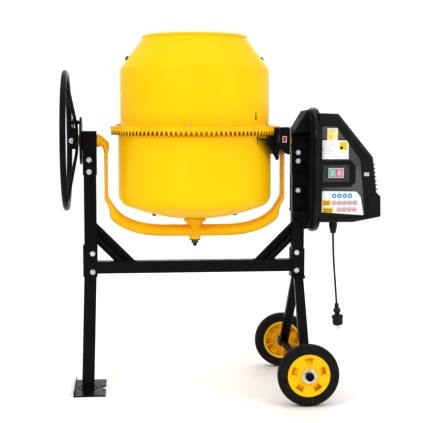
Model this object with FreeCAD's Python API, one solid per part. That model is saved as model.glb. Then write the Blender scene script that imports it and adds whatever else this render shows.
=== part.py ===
import FreeCAD, Part
import os
from math import pi, sin, cos, tan, radians, degrees, sqrt
from FreeCAD import Vector, Rotation, Placement

# Tilting concrete mixer. Millimetres, +Z up. While the parts are drawn, x = 0 and y = 0 is the
# axis of the upright drum; save() then moves them so that the origin lies on the floor below
# the middle of the machine's length.

# ---- driving dimensions ----
pivotZ = 1035.0            # height of the tilt axis above the floor
steel = 3.0                # wall of the frame tubes and brackets
drumSheet = 2.0            # sheet of the drum's two halves
tube = 50.0                # square frame tube
uprightX = 431.0           # centre of each upright from the drum axis
uprightTopZ = 1000.0
crossTopZ = 538.0
bracketTube = 56.0         # bearing bracket, a square sleeve over the upright
bracketBottomZ = 895.0
bracketTopZ = 1074.0

drumUpperR = 305.0
drumLowerR = 314.0
drumMouthR = 209.5         # centre line of the rolled rim
drumRimZ = 1454.5
rimRollR = 6.0
coneLowR, coneLowZ = 296.0, 1338.0
upperFlangeZ = 1095.0      # underside of the cone's flange, top of the ring gear
gearFlangeT = 12.0
dishR = 759.0              # spherical radius of the drum bottom
dishBottomZ = 714.0
seamR = 291.0              # where the side wall meets the dished bottom
knuckleTopZ = 812.0

gearModule = 6.0
ringTeeth = 112
pinionTeeth = 10
ringFaceIn, ringFaceOut = 326.0, 345.0
pinionX0, pinionX1 = 323.5, 343.5
shaftR = 10.0

bowR = 24.0                # round part of the bow tube
bowWall = 2.5
bowBottomZ = 663.0         # centre line of its lowest stretch
armX = 365.0
trunnionR = 22.0
bushR = 27.0
runFit = 0.05              # radial clearance of every running fit

wheelPlaneX = -526.0       # plane of the tilting handwheel
wheelR = 274.0
wheelTubeR = 12.0
hubPivotX = -502.0
lockR = 74.0               # radius of the lock pin and of the holes in the disc
discR = 97.0
discX0, discX1 = -470.0, -462.0

tyreR = 122.5
tyreWidth = 47.0
rimSeatR = 84.5
wheelY = 330.0             # centre plane of each road wheel
axleX = 421.0
axleR = 16.0
wheelHubHalf = 25.0

joinX = 500.0              # joint plane of the two housing shells
beadR = 133.0
housingTopZ, housingBottomZ = 1170.0, 656.0
shell = 3.0
coverHalf = 118.0          # half the depth of the outer cover
panelDepth = 4.0
drivenPulleyR, motorPulleyR = 117.0, 13.0
motorZ = 808.0
beltX0, beltX1 = 482.0, 494.0

cordR = 4.0
glandX, glandY = 578.0, -30.0
glandBottomZ = 648.0
cordRoute = [(578.0, -30.0, 648.0), (579.0, -30.0, 590.0), (583.0, -31.5, 512.0),
             (590.0, -31.0, 430.0), (596.0, -30.0, 352.0)]
plugLength = 114.0

frontEndX = 758.0          # furthest point of the housing
rearEndX = wheelPlaneX - wheelTubeR
middleX = (frontEndX + rearEndX) / 2.0


# ---- helpers ----
def block(x0, x1, y0, y1, z0, z1):
    return Part.makeBox(x1 - x0, y1 - y0, z1 - z0, Vector(x0, y0, z0))


def rod(start, end, radius):
    a, b = Vector(*start), Vector(*end)
    return Part.makeCylinder(radius, (b - a).Length, a, b - a)


def rodX(radius, x0, x1, y=0.0, z=pivotZ):
    return rod((x0, y, z), (x1, y, z), radius)


def rodZ(radius, z0, z1, x=0.0, y=0.0):
    return rod((x, y, z0), (x, y, z1), radius)


def coneX(r0, r1, x0, x1, z=pivotZ):
    return Part.makeCone(r0, r1, abs(x1 - x0), Vector(x0, 0, z), Vector(x1 - x0, 0, 0))


def outline(points, place):
    """Closed face from points; a pair of points is the middle and the end of an arc."""
    ends = [p if not isinstance(p[0], tuple) else p[1] for p in points]
    edges = []
    for i, item in enumerate(points):
        start, end = place(ends[i - 1]), place(ends[i])
        if isinstance(item[0], tuple):
            edges.append(Part.Arc(start, place(item[0]), end).toShape())
        else:
            edges.append(Part.LineSegment(start, end).toShape())
    return Part.Face(Part.Wire(edges))


def turnedZ(points):
    face = outline(points, lambda p: Vector(p[0], 0, p[1]))
    return face.revolve(Vector(0, 0, 0), Vector(0, 0, 1), 360)


def turnedX(points, z=pivotZ):
    face = outline(points, lambda p: Vector(p[0], 0, z + p[1]))
    return face.revolve(Vector(0, 0, z), Vector(1, 0, 0), 360)


def turnedY(points, x, z):
    face = outline(points, lambda p: Vector(x, p[0], z + p[1]))
    return face.revolve(Vector(x, 0, z), Vector(0, 1, 0), 360)


def slabY(points, y0, y1):
    face = outline(points, lambda p: Vector(p[0], y0, p[1]))
    return face.extrude(Vector(0, y1 - y0, 0))


def slabX(points, x0, x1):
    face = outline(points, lambda p: Vector(x0, p[0], p[1]))
    return face.extrude(Vector(x1 - x0, 0, 0))


def slabZ(points, z0, z1):
    face = outline(points, lambda p: Vector(p[0], p[1], z0))
    return face.extrude(Vector(0, 0, z1 - z0))


def hexagon(across, start, direction, length):
    corner = across / sqrt(3.0)
    points = [(corner * cos(radians(60 * k)), corner * sin(radians(60 * k))) for k in range(6)]
    return aimed(slabZ(points, 0.0, length), start, direction)


def aimed(shape, start, direction):
    """Turn a shape drawn along +Z so that it starts at a point and runs along a direction."""
    shape.Placement = Placement(Vector(*start), Rotation(Vector(0, 0, 1), Vector(*direction)))
    return shape


def bolt(start, direction, across, headH, shankR, grip, nutH):
    """Bolt and nut as one solid: the head's seat is at start, the shank runs against direction."""
    d = Vector(*direction).normalize()
    p = Vector(*start)
    head = hexagon(across, tuple(p), tuple(d), headH)
    tail = p - d * (grip + nutH)
    shank = Part.makeCylinder(shankR, (p - tail).Length + headH / 2, tail, d)
    nut = hexagon(across, tuple(tail), tuple(d), nutH)
    return head.fuse([shank, nut]).removeSplitter()


def hollowBar(x0, x1, y0, y1, z0, z1, wall, along):
    """Square tube, open at both ends along one axis."""
    lows, highs = [x0, y0, z0], [x1, y1, z1]
    for i in range(3):
        if i != along:
            lows[i] += wall
            highs[i] -= wall
    inner = block(lows[0], highs[0], lows[1], highs[1], lows[2], highs[2])
    return block(x0, x1, y0, y1, z0, z1).cut(inner)


def skewBar(low, high, wide, deep):
    """Bar between two centres whose cross-section stays level."""
    rings = []
    for x, y, z in (low, high):
        corners = [(x - wide / 2, y - deep / 2), (x + wide / 2, y - deep / 2),
                   (x + wide / 2, y + deep / 2), (x - wide / 2, y + deep / 2)]
        points = [Vector(a, b, z) for a, b in corners]
        rings.append(Part.makePolygon(points + points[:1]))
    return Part.makeLoft(rings, True, True)


def turned(shape, degreesAbout, centre, axis):
    copy = shape.copy()
    copy.rotate(Vector(*centre), Vector(*axis), degreesAbout)
    return copy


def mirrored(shape, normal):
    return shape.mirror(Vector(0, 0, 0), Vector(*normal))


def save(name, *shapes):
    whole = shapes[0] if len(shapes) == 1 else Part.makeCompound(list(shapes))
    whole = whole.copy()
    whole.translate(Vector(-middleX, 0, 0))
    solids = whole.Solids
    sound = all(s.isValid() for s in solids)
    print("%-24s solids %d valid %s volume %.0f" % (name, len(solids), sound, whole.Volume))
    whole.exportStep("parts/%s.step" % name)


# ---- frame ----
def frameBoltSpots():
    """x, z and half the depth of what each pair of frame bolts clamps."""
    spots = [(-uprightX - 3, 957.0, bracketTube / 2), (-uprightX - 3, 908.0, bracketTube / 2)]
    spots += [(uprightX - 3, 985.0, bracketTube / 2 + 4), (uprightX - 3, 950.0, bracketTube / 2 + 4)]
    spots += [(uprightX - 3, 828.0, tube / 2 + 7)]
    spots += [(-uprightX + 8, 572.0, 29.0), (-uprightX + 8, 496.0, 29.0)]
    spots += [(uprightX - 6, 567.0, 28.0), (uprightX - 6, 492.0, 28.0)]
    return spots


def boltHoles():
    return [rod((x, -60, z), (x, 60, z), 5.0) for x, z, half in frameBoltSpots()]


def upright(side):
    x = side * uprightX
    bottom = 484.0
    return hollowBar(x - tube / 2, x + tube / 2, -tube / 2, tube / 2, bottom, uprightTopZ, steel, 2)


def crossbar():
    inside = uprightX - tube / 2
    return hollowBar(-inside, inside, -tube / 2, tube / 2, crossTopZ - tube, crossTopZ, steel, 0)


def brace(side):
    """Pressed W-section strip at 45 degrees between an upright and the crossbar."""
    front, back, t = -14.0, 2.0, steel
    crest = [(0.0, front), (15.0, front), (20.0, back), (29.0, back), (34.0, front),
             (48.0, front), (53.0, back), (62.0, back)]
    under = [(w, y + t) for w, y in reversed(crest)]
    face = outline(crest + under, lambda p: Vector(p[0], p[1], -150))
    strip = face.extrude(Vector(0, 0, 420))
    strip.rotate(Vector(0, 0, 0), Vector(0, 1, 0), 135)
    lowCorner = Vector(-uprightX + tube / 2, 0, 697.0)
    strip.translate(lowCorner)
    keep = block(-uprightX + tube / 2, 0, -40, 40, crossTopZ, 760)
    strip = strip.common(keep)
    return strip if side < 0 else mirrored(strip, (1, 0, 0))


def leftLeg():
    sleeve = hollowBar(-462, -404, -29, 29, 480, 606, 3.8, 2)
    leg = skewBar((-447, 0, 6), (-433, 0, 480), tube, tube)
    bore = skewBar((-447, 0, 6), (-433, 0, 480), tube - 2 * steel, tube - 2 * steel)
    shoulder = block(-462, -404, -29, 29, 476, 480).cut(block(-452, -414, -20, 20, 470, 482))
    openSide = block(-410, -403, -25.2, 25.2, 480, 607)
    return sleeve.fuse([leg.cut(bore), shoulder]).cut(boltHoles() + [openSide]).removeSplitter()


def footPlate():
    x0, x1, half, t = -503.0, -374.0, 130.0, 6.0
    notch = 26.0
    points = [(x0, -half), (x1, -half), (x1, -notch), (x1 - notch, 0), (x1, notch), (x1, half), (x0, half)]
    lip = block(x0, x0 + 4, -half, half, t, t + 12)
    return slabZ(points, 0, t).fuse(lip).removeSplitter()


def legSocket():
    """Short sleeve that takes the right upright and carries both wheel legs."""
    sleeve = hollowBar(uprightX - 28, uprightX + 28, -28, 28, 470, 583, 2.8, 2)
    plate = block(uprightX - 28, uprightX + 28, -46, 46, 462, 470)
    openSide = block(uprightX - 29, uprightX - 24.9, -25.2, 25.2, crossTopZ - tube - 1, 584)
    return sleeve.fuse(plate).cut(boltHoles() + [openSide]).removeSplitter()


def wheelLeg(side):
    top = (uprightX + 2, side * 26, 462)
    foot = (axleX, side * 284, 104)
    leg = skewBar(foot, top, 38, 34)
    bore = skewBar(foot, top, 38 - 2 * steel, 34 - 2 * steel)
    return leg.cut(bore).cut(axle())


def axle():
    end = wheelY + wheelHubHalf + 18
    return rod((axleX, -end, tyreR), (axleX, end, tyreR), axleR)


def axleWithPinHoles():
    body = axle()
    for side in (-1, 1):
        y = side * (wheelY + wheelHubHalf + 10)
        body = body.cut(rod((axleX, y, tyreR - 30), (axleX, y, tyreR + 30), 2.3))
    return body


def axleWashers():
    rings = []
    for side in (-1, 1):
        for offset in (-wheelHubHalf - 3.5, wheelHubHalf + 0.5):
            y = side * wheelY + side * offset
            y0, y1 = sorted((y, y + side * 3.0))
            disc = rod((axleX, y0, tyreR), (axleX, y1, tyreR), 30)
            rings.append(disc.cut(rod((axleX, y0 - 1, tyreR), (axleX, y1 + 1, tyreR), axleR + 0.05)))
    return rings


def splitPins():
    pins = []
    for side in (-1, 1):
        y = side * (wheelY + wheelHubHalf + 10)
        pins.append(rod((axleX, y, tyreR - 22), (axleX, y, tyreR + 22), 2.2))
    return pins


def bearingBracket(side):
    half = bracketTube / 2
    x = side * uprightX
    body = block(x - half, x + half, -half, half, bracketBottomZ, bracketTopZ)
    inner = tube / 2 + 0.1
    body = body.cut(block(x - inner, x + inner, -inner, inner, bracketBottomZ - 1, bracketTopZ - steel))
    body = body.cut(rodX(bushR, x - 40, x + 40))
    return body.cut(boltHoles())


def trunnionBush(side):
    x = side * uprightX
    return rodX(bushR, x - 29, x + 29).cut(rodX(trunnionR + runFit, x - 30, x + 30))


def lockingDisc():
    disc = rodX(discR, discX0, discX1).fuse(rodX(38, discX1, -uprightX - bracketTube / 2))
    disc = disc.cut(rodX(bushR + 1, discX0 - 1, -400))
    holes = []
    for k in range(12):
        a = radians(30 * k)
        holes.append(rodX(6.0, discX0 - 1, discX1 + 1, lockR * sin(a), pivotZ + lockR * cos(a)))
    return disc.cut(holes).removeSplitter()


def frameBolts():
    made = []
    for x, z, half in frameBoltSpots():
        made.append(bolt((x, -half - 0.1, z), (0, -1, 0), 17.0, 7.0, 4.8, 2 * half + 0.2, 8.0))
    return made


# ---- drum ----
def dishZ(radius, inset=0.0):
    r = dishR - inset
    return dishBottomZ + dishR - sqrt(r * r - radius * radius)


def ringBoltAngles():
    return [-98 + 72 * k for k in range(5)]


ringBoltR = 317.0


def ringBoltHoles():
    made = []
    for a in ringBoltAngles():
        x, y = ringBoltR * cos(radians(a)), ringBoltR * sin(radians(a))
        made.append(rodZ(4.2, 1050, 1110, x, y))
    return made


def coneNormal():
    run, rise = drumMouthR - coneLowR, drumRimZ - coneLowZ
    length = sqrt(run * run + rise * rise)
    return rise / length, -run / length


def conePoint(z):
    share = (z - coneLowZ) / (drumRimZ - coneLowZ)
    return coneLowR + (drumMouthR - coneLowR) * share


coneBoltZ = 1368.0
dishBoltR = 167.0


def paddleBoltHoles():
    nx, nz = coneNormal()
    made = []
    for side in (-1, 1):
        p = (side * conePoint(coneBoltZ), 0, coneBoltZ)
        inner = (p[0] - side * nx * 30, 0, p[2] - nz * 30)
        made.append(rod(inner, (p[0] + side * nx * 20, 0, p[2] + nz * 20), 4.3))
        lean = dishBoltR / dishR
        x, z = side * dishBoltR, dishZ(dishBoltR)
        made.append(rod((x + side * lean * 20, 0, z - 20), (x - side * lean * 30, 0, z + 30), 4.3))
    return made


def drumBowl():
    t = drumSheet
    neckR, neckZ = 306.0, 1066.0
    lipR = 326.0
    lipTop = upperFlangeZ - gearFlangeT
    hole = 36.2
    points = [(hole, dishZ(hole)), ((150.0, dishZ(150.0)), (seamR, dishZ(seamR))),
              ((306.5, 789.5), (drumLowerR, knuckleTopZ)), (drumLowerR, neckZ - 10), (neckR, neckZ),
              (neckR, lipTop - t), (lipR, lipTop - t), (lipR, lipTop), (neckR - t, lipTop),
              (neckR - t, neckZ - 1), (drumLowerR - t, neckZ - 11), (drumLowerR - t, knuckleTopZ),
              ((304.0, 791.0), (seamR - 2.2, dishZ(seamR - 2.2, t))),
              ((150.0, dishZ(150.0, t)), (hole, dishZ(hole, t)))]
    return turnedZ(points).cut(ringBoltHoles() + paddleBoltHoles())


def drumCone():
    t = drumSheet
    nx, nz = coneNormal()
    lip = 331.0
    shoulderZ = 1316.0
    points = [(drumUpperR - t, upperFlangeZ), (lip, upperFlangeZ), (lip, upperFlangeZ + t),
              (drumUpperR, upperFlangeZ + t), (drumUpperR, shoulderZ),
              ((303.0, 1328.5), (coneLowR, coneLowZ)), (drumMouthR, drumRimZ),
              (drumMouthR - t * nx, drumRimZ - t * nz), (coneLowR - t * nx, coneLowZ - t * nz),
              ((300.2, 1327.5), (drumUpperR - t, shoulderZ))]
    roll = Part.makeTorus(drumMouthR, rimRollR, Vector(0, 0, drumRimZ), Vector(0, 0, 1))
    return turnedZ(points).fuse(roll).cut(ringBoltHoles() + paddleBoltHoles())


def gearTooth(x0, x1, halfPitchLine, halfTip, halfRoot, tipZ, pitchZ, rootZ):
    points = [(-halfRoot, rootZ), (-halfPitchLine, pitchZ), (-halfTip, tipZ),
              (halfTip, tipZ), (halfPitchLine, pitchZ), (halfRoot, rootZ)]
    return slabX(points, x0, x1)


def ringGear():
    flangeBottom = upperFlangeZ - gearFlangeT
    pitchZ = pivotZ + gearModule * pinionTeeth / 2
    rootZ, tipZ = pitchZ + 9.0, pitchZ - 6.0
    ring = turnedZ([(303.2, flangeBottom), (ringFaceIn + 0.5, flangeBottom), (ringFaceIn + 0.5, rootZ),
                    (ringFaceOut, rootZ), (ringFaceOut, upperFlangeZ), (303.2, upperFlangeZ)])
    tooth = gearTooth(ringFaceIn + 2.5, ringFaceOut - 1.5, 3.9, 1.9, 6.6, tipZ, pitchZ, rootZ + 1.0)
    step = 360.0 / ringTeeth
    teeth = [turned(tooth, step * (k + 0.5), (0, 0, 0), (0, 0, 1)) for k in range(ringTeeth)]
    return ring.multiFuse(teeth).cut(ringBoltHoles()).removeSplitter()


def ringBolts():
    made = []
    for a in ringBoltAngles():
        x, y = ringBoltR * cos(radians(a)), ringBoltR * sin(radians(a))
        grip = gearFlangeT + 2 * drumSheet
        made.append(bolt((x, y, upperFlangeZ + drumSheet), (0, 0, 1), 13.0, 6.0, 4.0, grip, 7.0))
    return made


def mixingPaddle(side):
    t = 5.0
    nx, nz = coneNormal()
    blade = slabY([(216, 1292), (236, 1330), (262, 1338), (274, 1350), (282, 1344), (288, 1300), (288, 852),
                   (262, 802), (232, 762), (184, 743), (182, 752), (216, 842)], -t / 2, t / 2)
    gap = drumSheet + 1.4
    x, z = conePoint(coneBoltZ) - nx * gap, coneBoltZ - nz * gap
    tab = block(-24, 24, -20, 20, -t, 0)
    topTab = aimed(tab.copy(), (x, 0, z), (nx, 0, nz))
    lean = dishBoltR / dishR
    low = (dishBoltR - lean * gap, 0, dishZ(dishBoltR) + gap)
    lowTab = aimed(tab.copy(), low, (lean, 0, -1))
    paddle = blade.fuse([topTab, lowTab])
    paddle = paddle if side > 0 else mirrored(paddle, (1, 0, 0))
    return paddle.cut(paddleBoltHoles()).removeSplitter()


def paddleBolts():
    nx, nz = coneNormal()
    grip = 12.0
    lean = dishBoltR / dishR
    made = []
    for side in (-1, 1):
        p = (side * (conePoint(coneBoltZ) + nx * 0.6), 0, coneBoltZ + nz * 0.6)
        made.append(bolt(p, (side * nx, 0, nz), 17.0, 8.0, 4.2, grip, 7.0))
        q = (side * (dishBoltR + lean * 0.6), 0, dishZ(dishBoltR) - 0.6)
        made.append(bolt(q, (side * lean, 0, -1), 17.0, 8.0, 4.2, grip, 7.0))
    return made


hubBoreR = 24.0
pinR = 15.0


def drumHub():
    body = rodZ(36, 714.6, 798)
    flange = rodZ(62, 720.4, 727)
    bore = rodZ(hubBoreR, 710, 790)
    return body.fuse(flange).cut(bore).removeSplitter()


def drumBearings():
    rings = []
    for z in (722.0, 768.0):
        rings.append(rodZ(hubBoreR, z, z + 15).cut(rodZ(pinR + runFit, z - 1, z + 16)))
    return rings


# ---- bow ----
bowBend = [(0.0, bowBottomZ), (-150.0, bowBottomZ + 1), (-212.0, bowBottomZ + 8),
           (-262.0, bowBottomZ + 22), (-302.0, bowBottomZ + 42), (-326.0, bowBottomZ + 62)]


def bowRun(side, radius):
    """Round stretch of the bow from the middle to one flattened arm."""
    points = [(side * -x, 0, z) for x, z in bowBend]
    made = [rod(points[i], points[i + 1], radius) for i in range(len(points) - 1)]
    return made + [Part.makeSphere(radius, Vector(*p)) for p in points[1:]]


def bowArm(side):
    """Flattened arm: pressed corner, flat blade and the mitred elbow at the trunnion."""
    corner = [(306, 706), (346, 706), (351, 724), (351, 746), (373, 800), (373, 812), (357, 812),
              (357, 800), (331, 756), (324, 742)]
    elbow = [(357, 984), (373, 984), (385, 1012), (387.6, 1012), (387.6, 1058), (384, 1058), (353, 1027),
             (353, 1008)]
    made = [slabY([(side * x, z) for x, z in corner], -29, 29),
            block(*sorted((side * (armX - 7), side * (armX + 7))), -32, 32, 806, 990),
            slabY([(side * x, z) for x, z in elbow], -23, 23)]
    return made


def bowTube():
    solid = bowRun(-1, bowR) + bowRun(1, bowR)
    whole = solid[0].fuse(solid[1:])
    hollow = bowRun(-1, bowR - bowWall) + bowRun(1, bowR - bowWall)
    whole = whole.cut(hollow[0].fuse(hollow[1:]))
    whole = whole.fuse(bowArm(-1) + bowArm(1))
    return whole.cut([drumSupportBlank(), trunnionBlank(-1), trunnionBlank(1)])


def trunnionBlank(side):
    outer = 506.0 if side < 0 else 470.0
    x0, x1 = sorted((side * 351.5, side * outer))
    return rodX(trunnionR, x0, x1)


def trunnion(side):
    body = trunnionBlank(side)
    inside = uprightX - bracketTube / 2
    collar = sorted((side * (inside - 12.0), side * (inside - 2.0)))
    body = body.fuse(rodX(bushR, *collar))
    if side < 0:
        body = body.cut(rod((hubPivotX, -40, pivotZ), (hubPivotX, 40, pivotZ), 6.0))
    else:
        body = body.cut(rodX(shaftR + runFit, 340, 480))
    return body.removeSplitter()


def drumSupportBlank():
    disc = rodZ(46, 701, 713)
    flare = Part.makeCone(34, 28, 16, Vector(0, 0, 685))
    sleeve = rodZ(23, 626, 705)
    return disc.fuse([flare, sleeve])


def drumSupport():
    return drumSupportBlank().cut(rodZ(pinR, 620, 720)).removeSplitter()


def drumPin():
    shank = rodZ(pinR, 626, 784)
    thread = rodZ(8, 598, 630)
    return shank.fuse(thread).removeSplitter()


def drumPinNut():
    washer = rodZ(22, 622.5, 626)
    nut = hexagon(24, (0, 0, 609), (0, 0, 1), 13.5)
    return washer.fuse(nut).cut(rodZ(8, 600, 630)).removeSplitter()


guardR = 350.0             # outer face of the sheet over the gear
guardHalfY = 58.0


def sector(halfAngle, z0, z1):
    far = 500.0
    s, c = far * sin(radians(halfAngle)), far * cos(radians(halfAngle))
    return slabZ([(0, 0), (c, -s), (c, s)], z0, z1)


def guardCover():
    """Curved sheet over the ring gear at the pinion, with a shelf below the teeth."""
    t = steel
    low, shelfZ, top = 975.0, 1040.0, 1088.0
    wide, narrow = 41.0, 25.0
    sheet = rodZ(guardR, low, top).cut(rodZ(guardR - t, low - 1, top + 1))
    upper = sheet.common(sector(narrow, shelfZ, top))
    lower = sheet.common(sector(wide, low, shelfZ + 6))
    coveX, coveZ, coveR = 262.0, 968.0, 63.0
    lower = lower.cut(rod((coveX, -400, coveZ), (coveX, 400, coveZ), coveR))
    shelf = rodZ(guardR - 1, shelfZ, shelfZ + 6).cut(rodZ(319, shelfZ - 1, shelfZ + 7))
    shelf = shelf.common(sector(wide, shelfZ - 1, shelfZ + 7))
    shelf = shelf.cut(block(310, 346.6, -44, 44, shelfZ - 2, shelfZ + 8))
    whole = upper.fuse([lower, shelf])
    return whole.cut(rodX(shaftR + 6, 330, 370)).removeSplitter()


def guardPlate():
    """Yoke-shaped bracket that holds the guard on the right trunnion."""
    t = steel
    back0, back1 = 388.0, 391.0
    low, high = 977.0, 1091.0
    start = sqrt(guardR * guardR - (guardHalfY - t) ** 2) + 0.4
    points = [(start, low + 52), ((start + 14, low + 14), (back1 - 8, low)), (back1, low + 4),
              (back1, high - 8),
              ((back1 - 2.5, high - 2.5), (back1 - 8, high)), (start, high)]
    cheek = slabY(points, guardHalfY - t, guardHalfY)
    back = block(back0, back1, -guardHalfY + 1, guardHalfY - 1, low + 6, high - 9)
    whole = cheek.fuse([mirrored(cheek, (0, 1, 0)), back])
    return whole.cut(rodX(trunnionR, 370, 400)).removeSplitter()


# ---- handwheel ----
def handwheelRim():
    return Part.makeTorus(wheelR, wheelTubeR, Vector(wheelPlaneX, 0, pivotZ), Vector(1, 0, 0))


def spokeRoute(side):
    up, down = radians(27), radians(21)
    return [(wheelPlaneX, side * wheelR * sin(up), pivotZ + wheelR * cos(up)),
            (-483.0, side * 32.5, pivotZ + 58.0), (-483.0, side * 32.5, pivotZ - 44.0),
            (wheelPlaneX, side * wheelR * sin(down), pivotZ - wheelR * cos(down))]


def handwheelSpoke(side):
    r = 5.0
    route = spokeRoute(side)
    parts = [rod(route[i], route[i + 1], r) for i in range(3)]
    parts += [Part.makeSphere(r, Vector(*route[i])) for i in (1, 2)]
    bar = parts[0].fuse(parts[1:]).removeSplitter()
    return bar.cut([handwheelRim(), hubBody()])


def hubBody():
    """Channel that straddles the trunnion's end and turns a little about the pivot bolt."""
    x0, x1, half, t = -513.0, -484.0, 27.5, 4.0
    z0, z1 = pivotZ - 34, pivotZ + 52
    cheek = block(x0, x1, half - t, half, z0, z1)
    web = block(x0, x0 + t, -half, half, z0, z1)
    plate = block(-500, -494, -16, 16, z1 - 6, pivotZ + lockR + 16)
    bridge = block(x0, x1, -half, half, z1 - 6, z1)
    return cheek.fuse([mirrored(cheek, (0, 1, 0)), web, bridge, plate])


def handwheelHub():
    pivot = rod((hubPivotX, -60, pivotZ), (hubPivotX, 60, pivotZ), 6.0 + runFit)
    pin = rodX(7.0, -520, -480, 0, pivotZ + lockR)
    return hubBody().cut([pivot, pin]).removeSplitter()


def lockPin():
    z = pivotZ + lockR
    stem = rodX(7.0, -508, -484, 0, z)
    nose = coneX(11.0, 5.0, -484, discX0 - 0.6, z)
    knob = rodX(11.0, -512, -506, 0, z)
    return stem.fuse([nose, knob]).removeSplitter()


def hubPivotBolt():
    shank = rod((hubPivotX, -28.0, pivotZ), (hubPivotX, 30, pivotZ), 6.0)
    head = turnedY([(-36.0, 0.0), (-36.0, 7.0), ((-33.5, 11.0), (-30.0, 12.0)), (-27.9, 12.0), (-27.9, 0.0)],
                   hubPivotX, pivotZ)
    nut = hexagon(19, (hubPivotX, 27.9, pivotZ), (0, 1, 0), 9)
    return shank.fuse([head, nut]).removeSplitter()


# ---- road wheels ----
def tyre(side):
    w = tyreWidth / 2
    points = [(-w + 5, rimSeatR), (w - 5, rimSeatR), (w - 1, rimSeatR + 6), (w, 104.0),
              ((w - 2.5, 115.0), (w - 9, 120.5)), ((0.0, tyreR), (-w + 9, 120.5)),
              ((-w + 2.5, 115.0), (-w, 104.0)), (-w + 1, rimSeatR + 6)]
    made = turnedY(points, axleX, tyreR)
    made.translate(Vector(0, side * wheelY, 0))
    return made


def wheelDisc(side):
    out = 16.0
    points = [(-wheelHubHalf, axleR + runFit), (wheelHubHalf, axleR + runFit), (wheelHubHalf, 31.0),
              (out, 36.0), (out, 70.0), (out + 2.0, 74.0), (out + 2.0, rimSeatR), (-out - 2, rimSeatR),
              (-out - 2, 74.0), (out - 10, 72.0), (out - 10, 38.0), (-wheelHubHalf, 31.0)]
    disc = turnedY(points, 0, 0)
    for k in range(5):
        window = slabY([(-12.5, 46.0), (12.5, 46.0), (17.0, 69.0), (-17.0, 69.0)], -30, 30)
        disc = disc.cut(turned(window, 72 * k, (0, 0, 0), (0, 1, 0)))
    disc = disc if side > 0 else mirrored(disc, (0, 1, 0))
    disc.translate(Vector(axleX, side * wheelY, tyreR))
    return disc


# ---- drive ----
def pinion():
    rootR, baseR, pitchR, tipR = 22.0, 26.0, 30.0, 35.6
    blank = rodX(rootR, pinionX0, pinionX1)
    tooth = slabX([(-4.8, rootR - 1), (-4.3, baseR), (-3.4, pitchR), (-1.5, tipR),
                   (1.5, tipR), (3.4, pitchR), (4.3, baseR), (4.8, rootR - 1)], pinionX0, pinionX1)
    tooth.translate(Vector(0, 0, pivotZ))
    step = 360.0 / pinionTeeth
    teeth = [turned(tooth, step * k, (0, 0, pivotZ), (1, 0, 0)) for k in range(pinionTeeth)]
    return blank.multiFuse(teeth).cut(rodX(shaftR, 310, 360)).removeSplitter()


def driveShaft():
    shaft = rodX(shaftR, 319.0, beltX1 + 10)
    ringNut = rodX(14.0, 319.0, pinionX0)
    return shaft.fuse(ringNut).removeSplitter()


def ribbedPulley(z, radius, hubR, boreR, x0, x1):
    web0, web1 = x0 + 3, x1 - 3
    if radius > 40:
        rim, outer = radius - 8, 4
        points = [(x0 - outer, boreR), (x1 + outer, boreR), (x1 + outer, hubR), (web1, hubR), (web1, rim),
                  (x1, rim), (x1, radius), (x0, radius), (x0, rim), (web0, rim), (web0, hubR),
                  (x0 - outer, hubR)]
    else:
        lip = radius + 2.5
        points = [(x0 - 3, boreR), (x1 + 3, boreR), (x1 + 3, lip), (x1 + 1, lip), (x1, radius),
                  (x0, radius), (x0 - 1, lip), (x0 - 3, lip)]
    return turnedX(points, z)


def belt():
    """Flat ribbed belt: a loop round both pulleys, standing just clear of them."""
    gap, t = 0.35, 3.5
    span = pivotZ - motorZ
    lean = (drivenPulleyR - motorPulleyR) / span
    c = sqrt(1 - lean * lean)

    def loop(extra):
        big, small = drivenPulleyR + extra, motorPulleyR + extra
        return slabX([(big * c, pivotZ - big * lean), ((0, pivotZ + big), (-big * c, pivotZ - big * lean)),
                      (-small * c, motorZ - small * lean),
                      ((0, motorZ - small), (small * c, motorZ - small * lean))],
                     beltX0, beltX1)
    return loop(gap + t).cut(loop(gap))


def motorCasing():
    """Motor body with its end shields and the foot that bolts it to the housing."""
    x0, x1, r = 512.0, 690.0, 62.0
    body = rodX(r, x0, x1, 0, motorZ)
    hollow = rodX(r - 6, x0 + 8, x1 - 8, 0, motorZ)
    bore = rodX(8.0 + runFit, x0 - 5, x1 - 4, 0, motorZ)
    foot = block(x0, x0 + 10, -78, 78, motorZ - 70, motorZ + 70)
    return body.fuse(foot).cut([hollow, bore]).removeSplitter()


def motorRotor():
    return rodX(48, 530, 672, 0, motorZ).fuse(rodX(8.0, beltX0 - 6, 684, 0, motorZ)).removeSplitter()


# ---- housing ----
def stadium(radius, topZ, bottomZ, x0, x1):
    points = [(radius, topZ - radius), ((0, topZ), (-radius, topZ - radius)),
              (-radius, bottomZ + radius), ((0, bottomZ), (radius, bottomZ + radius))]
    return slabX(points, x0, x1)


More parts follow.
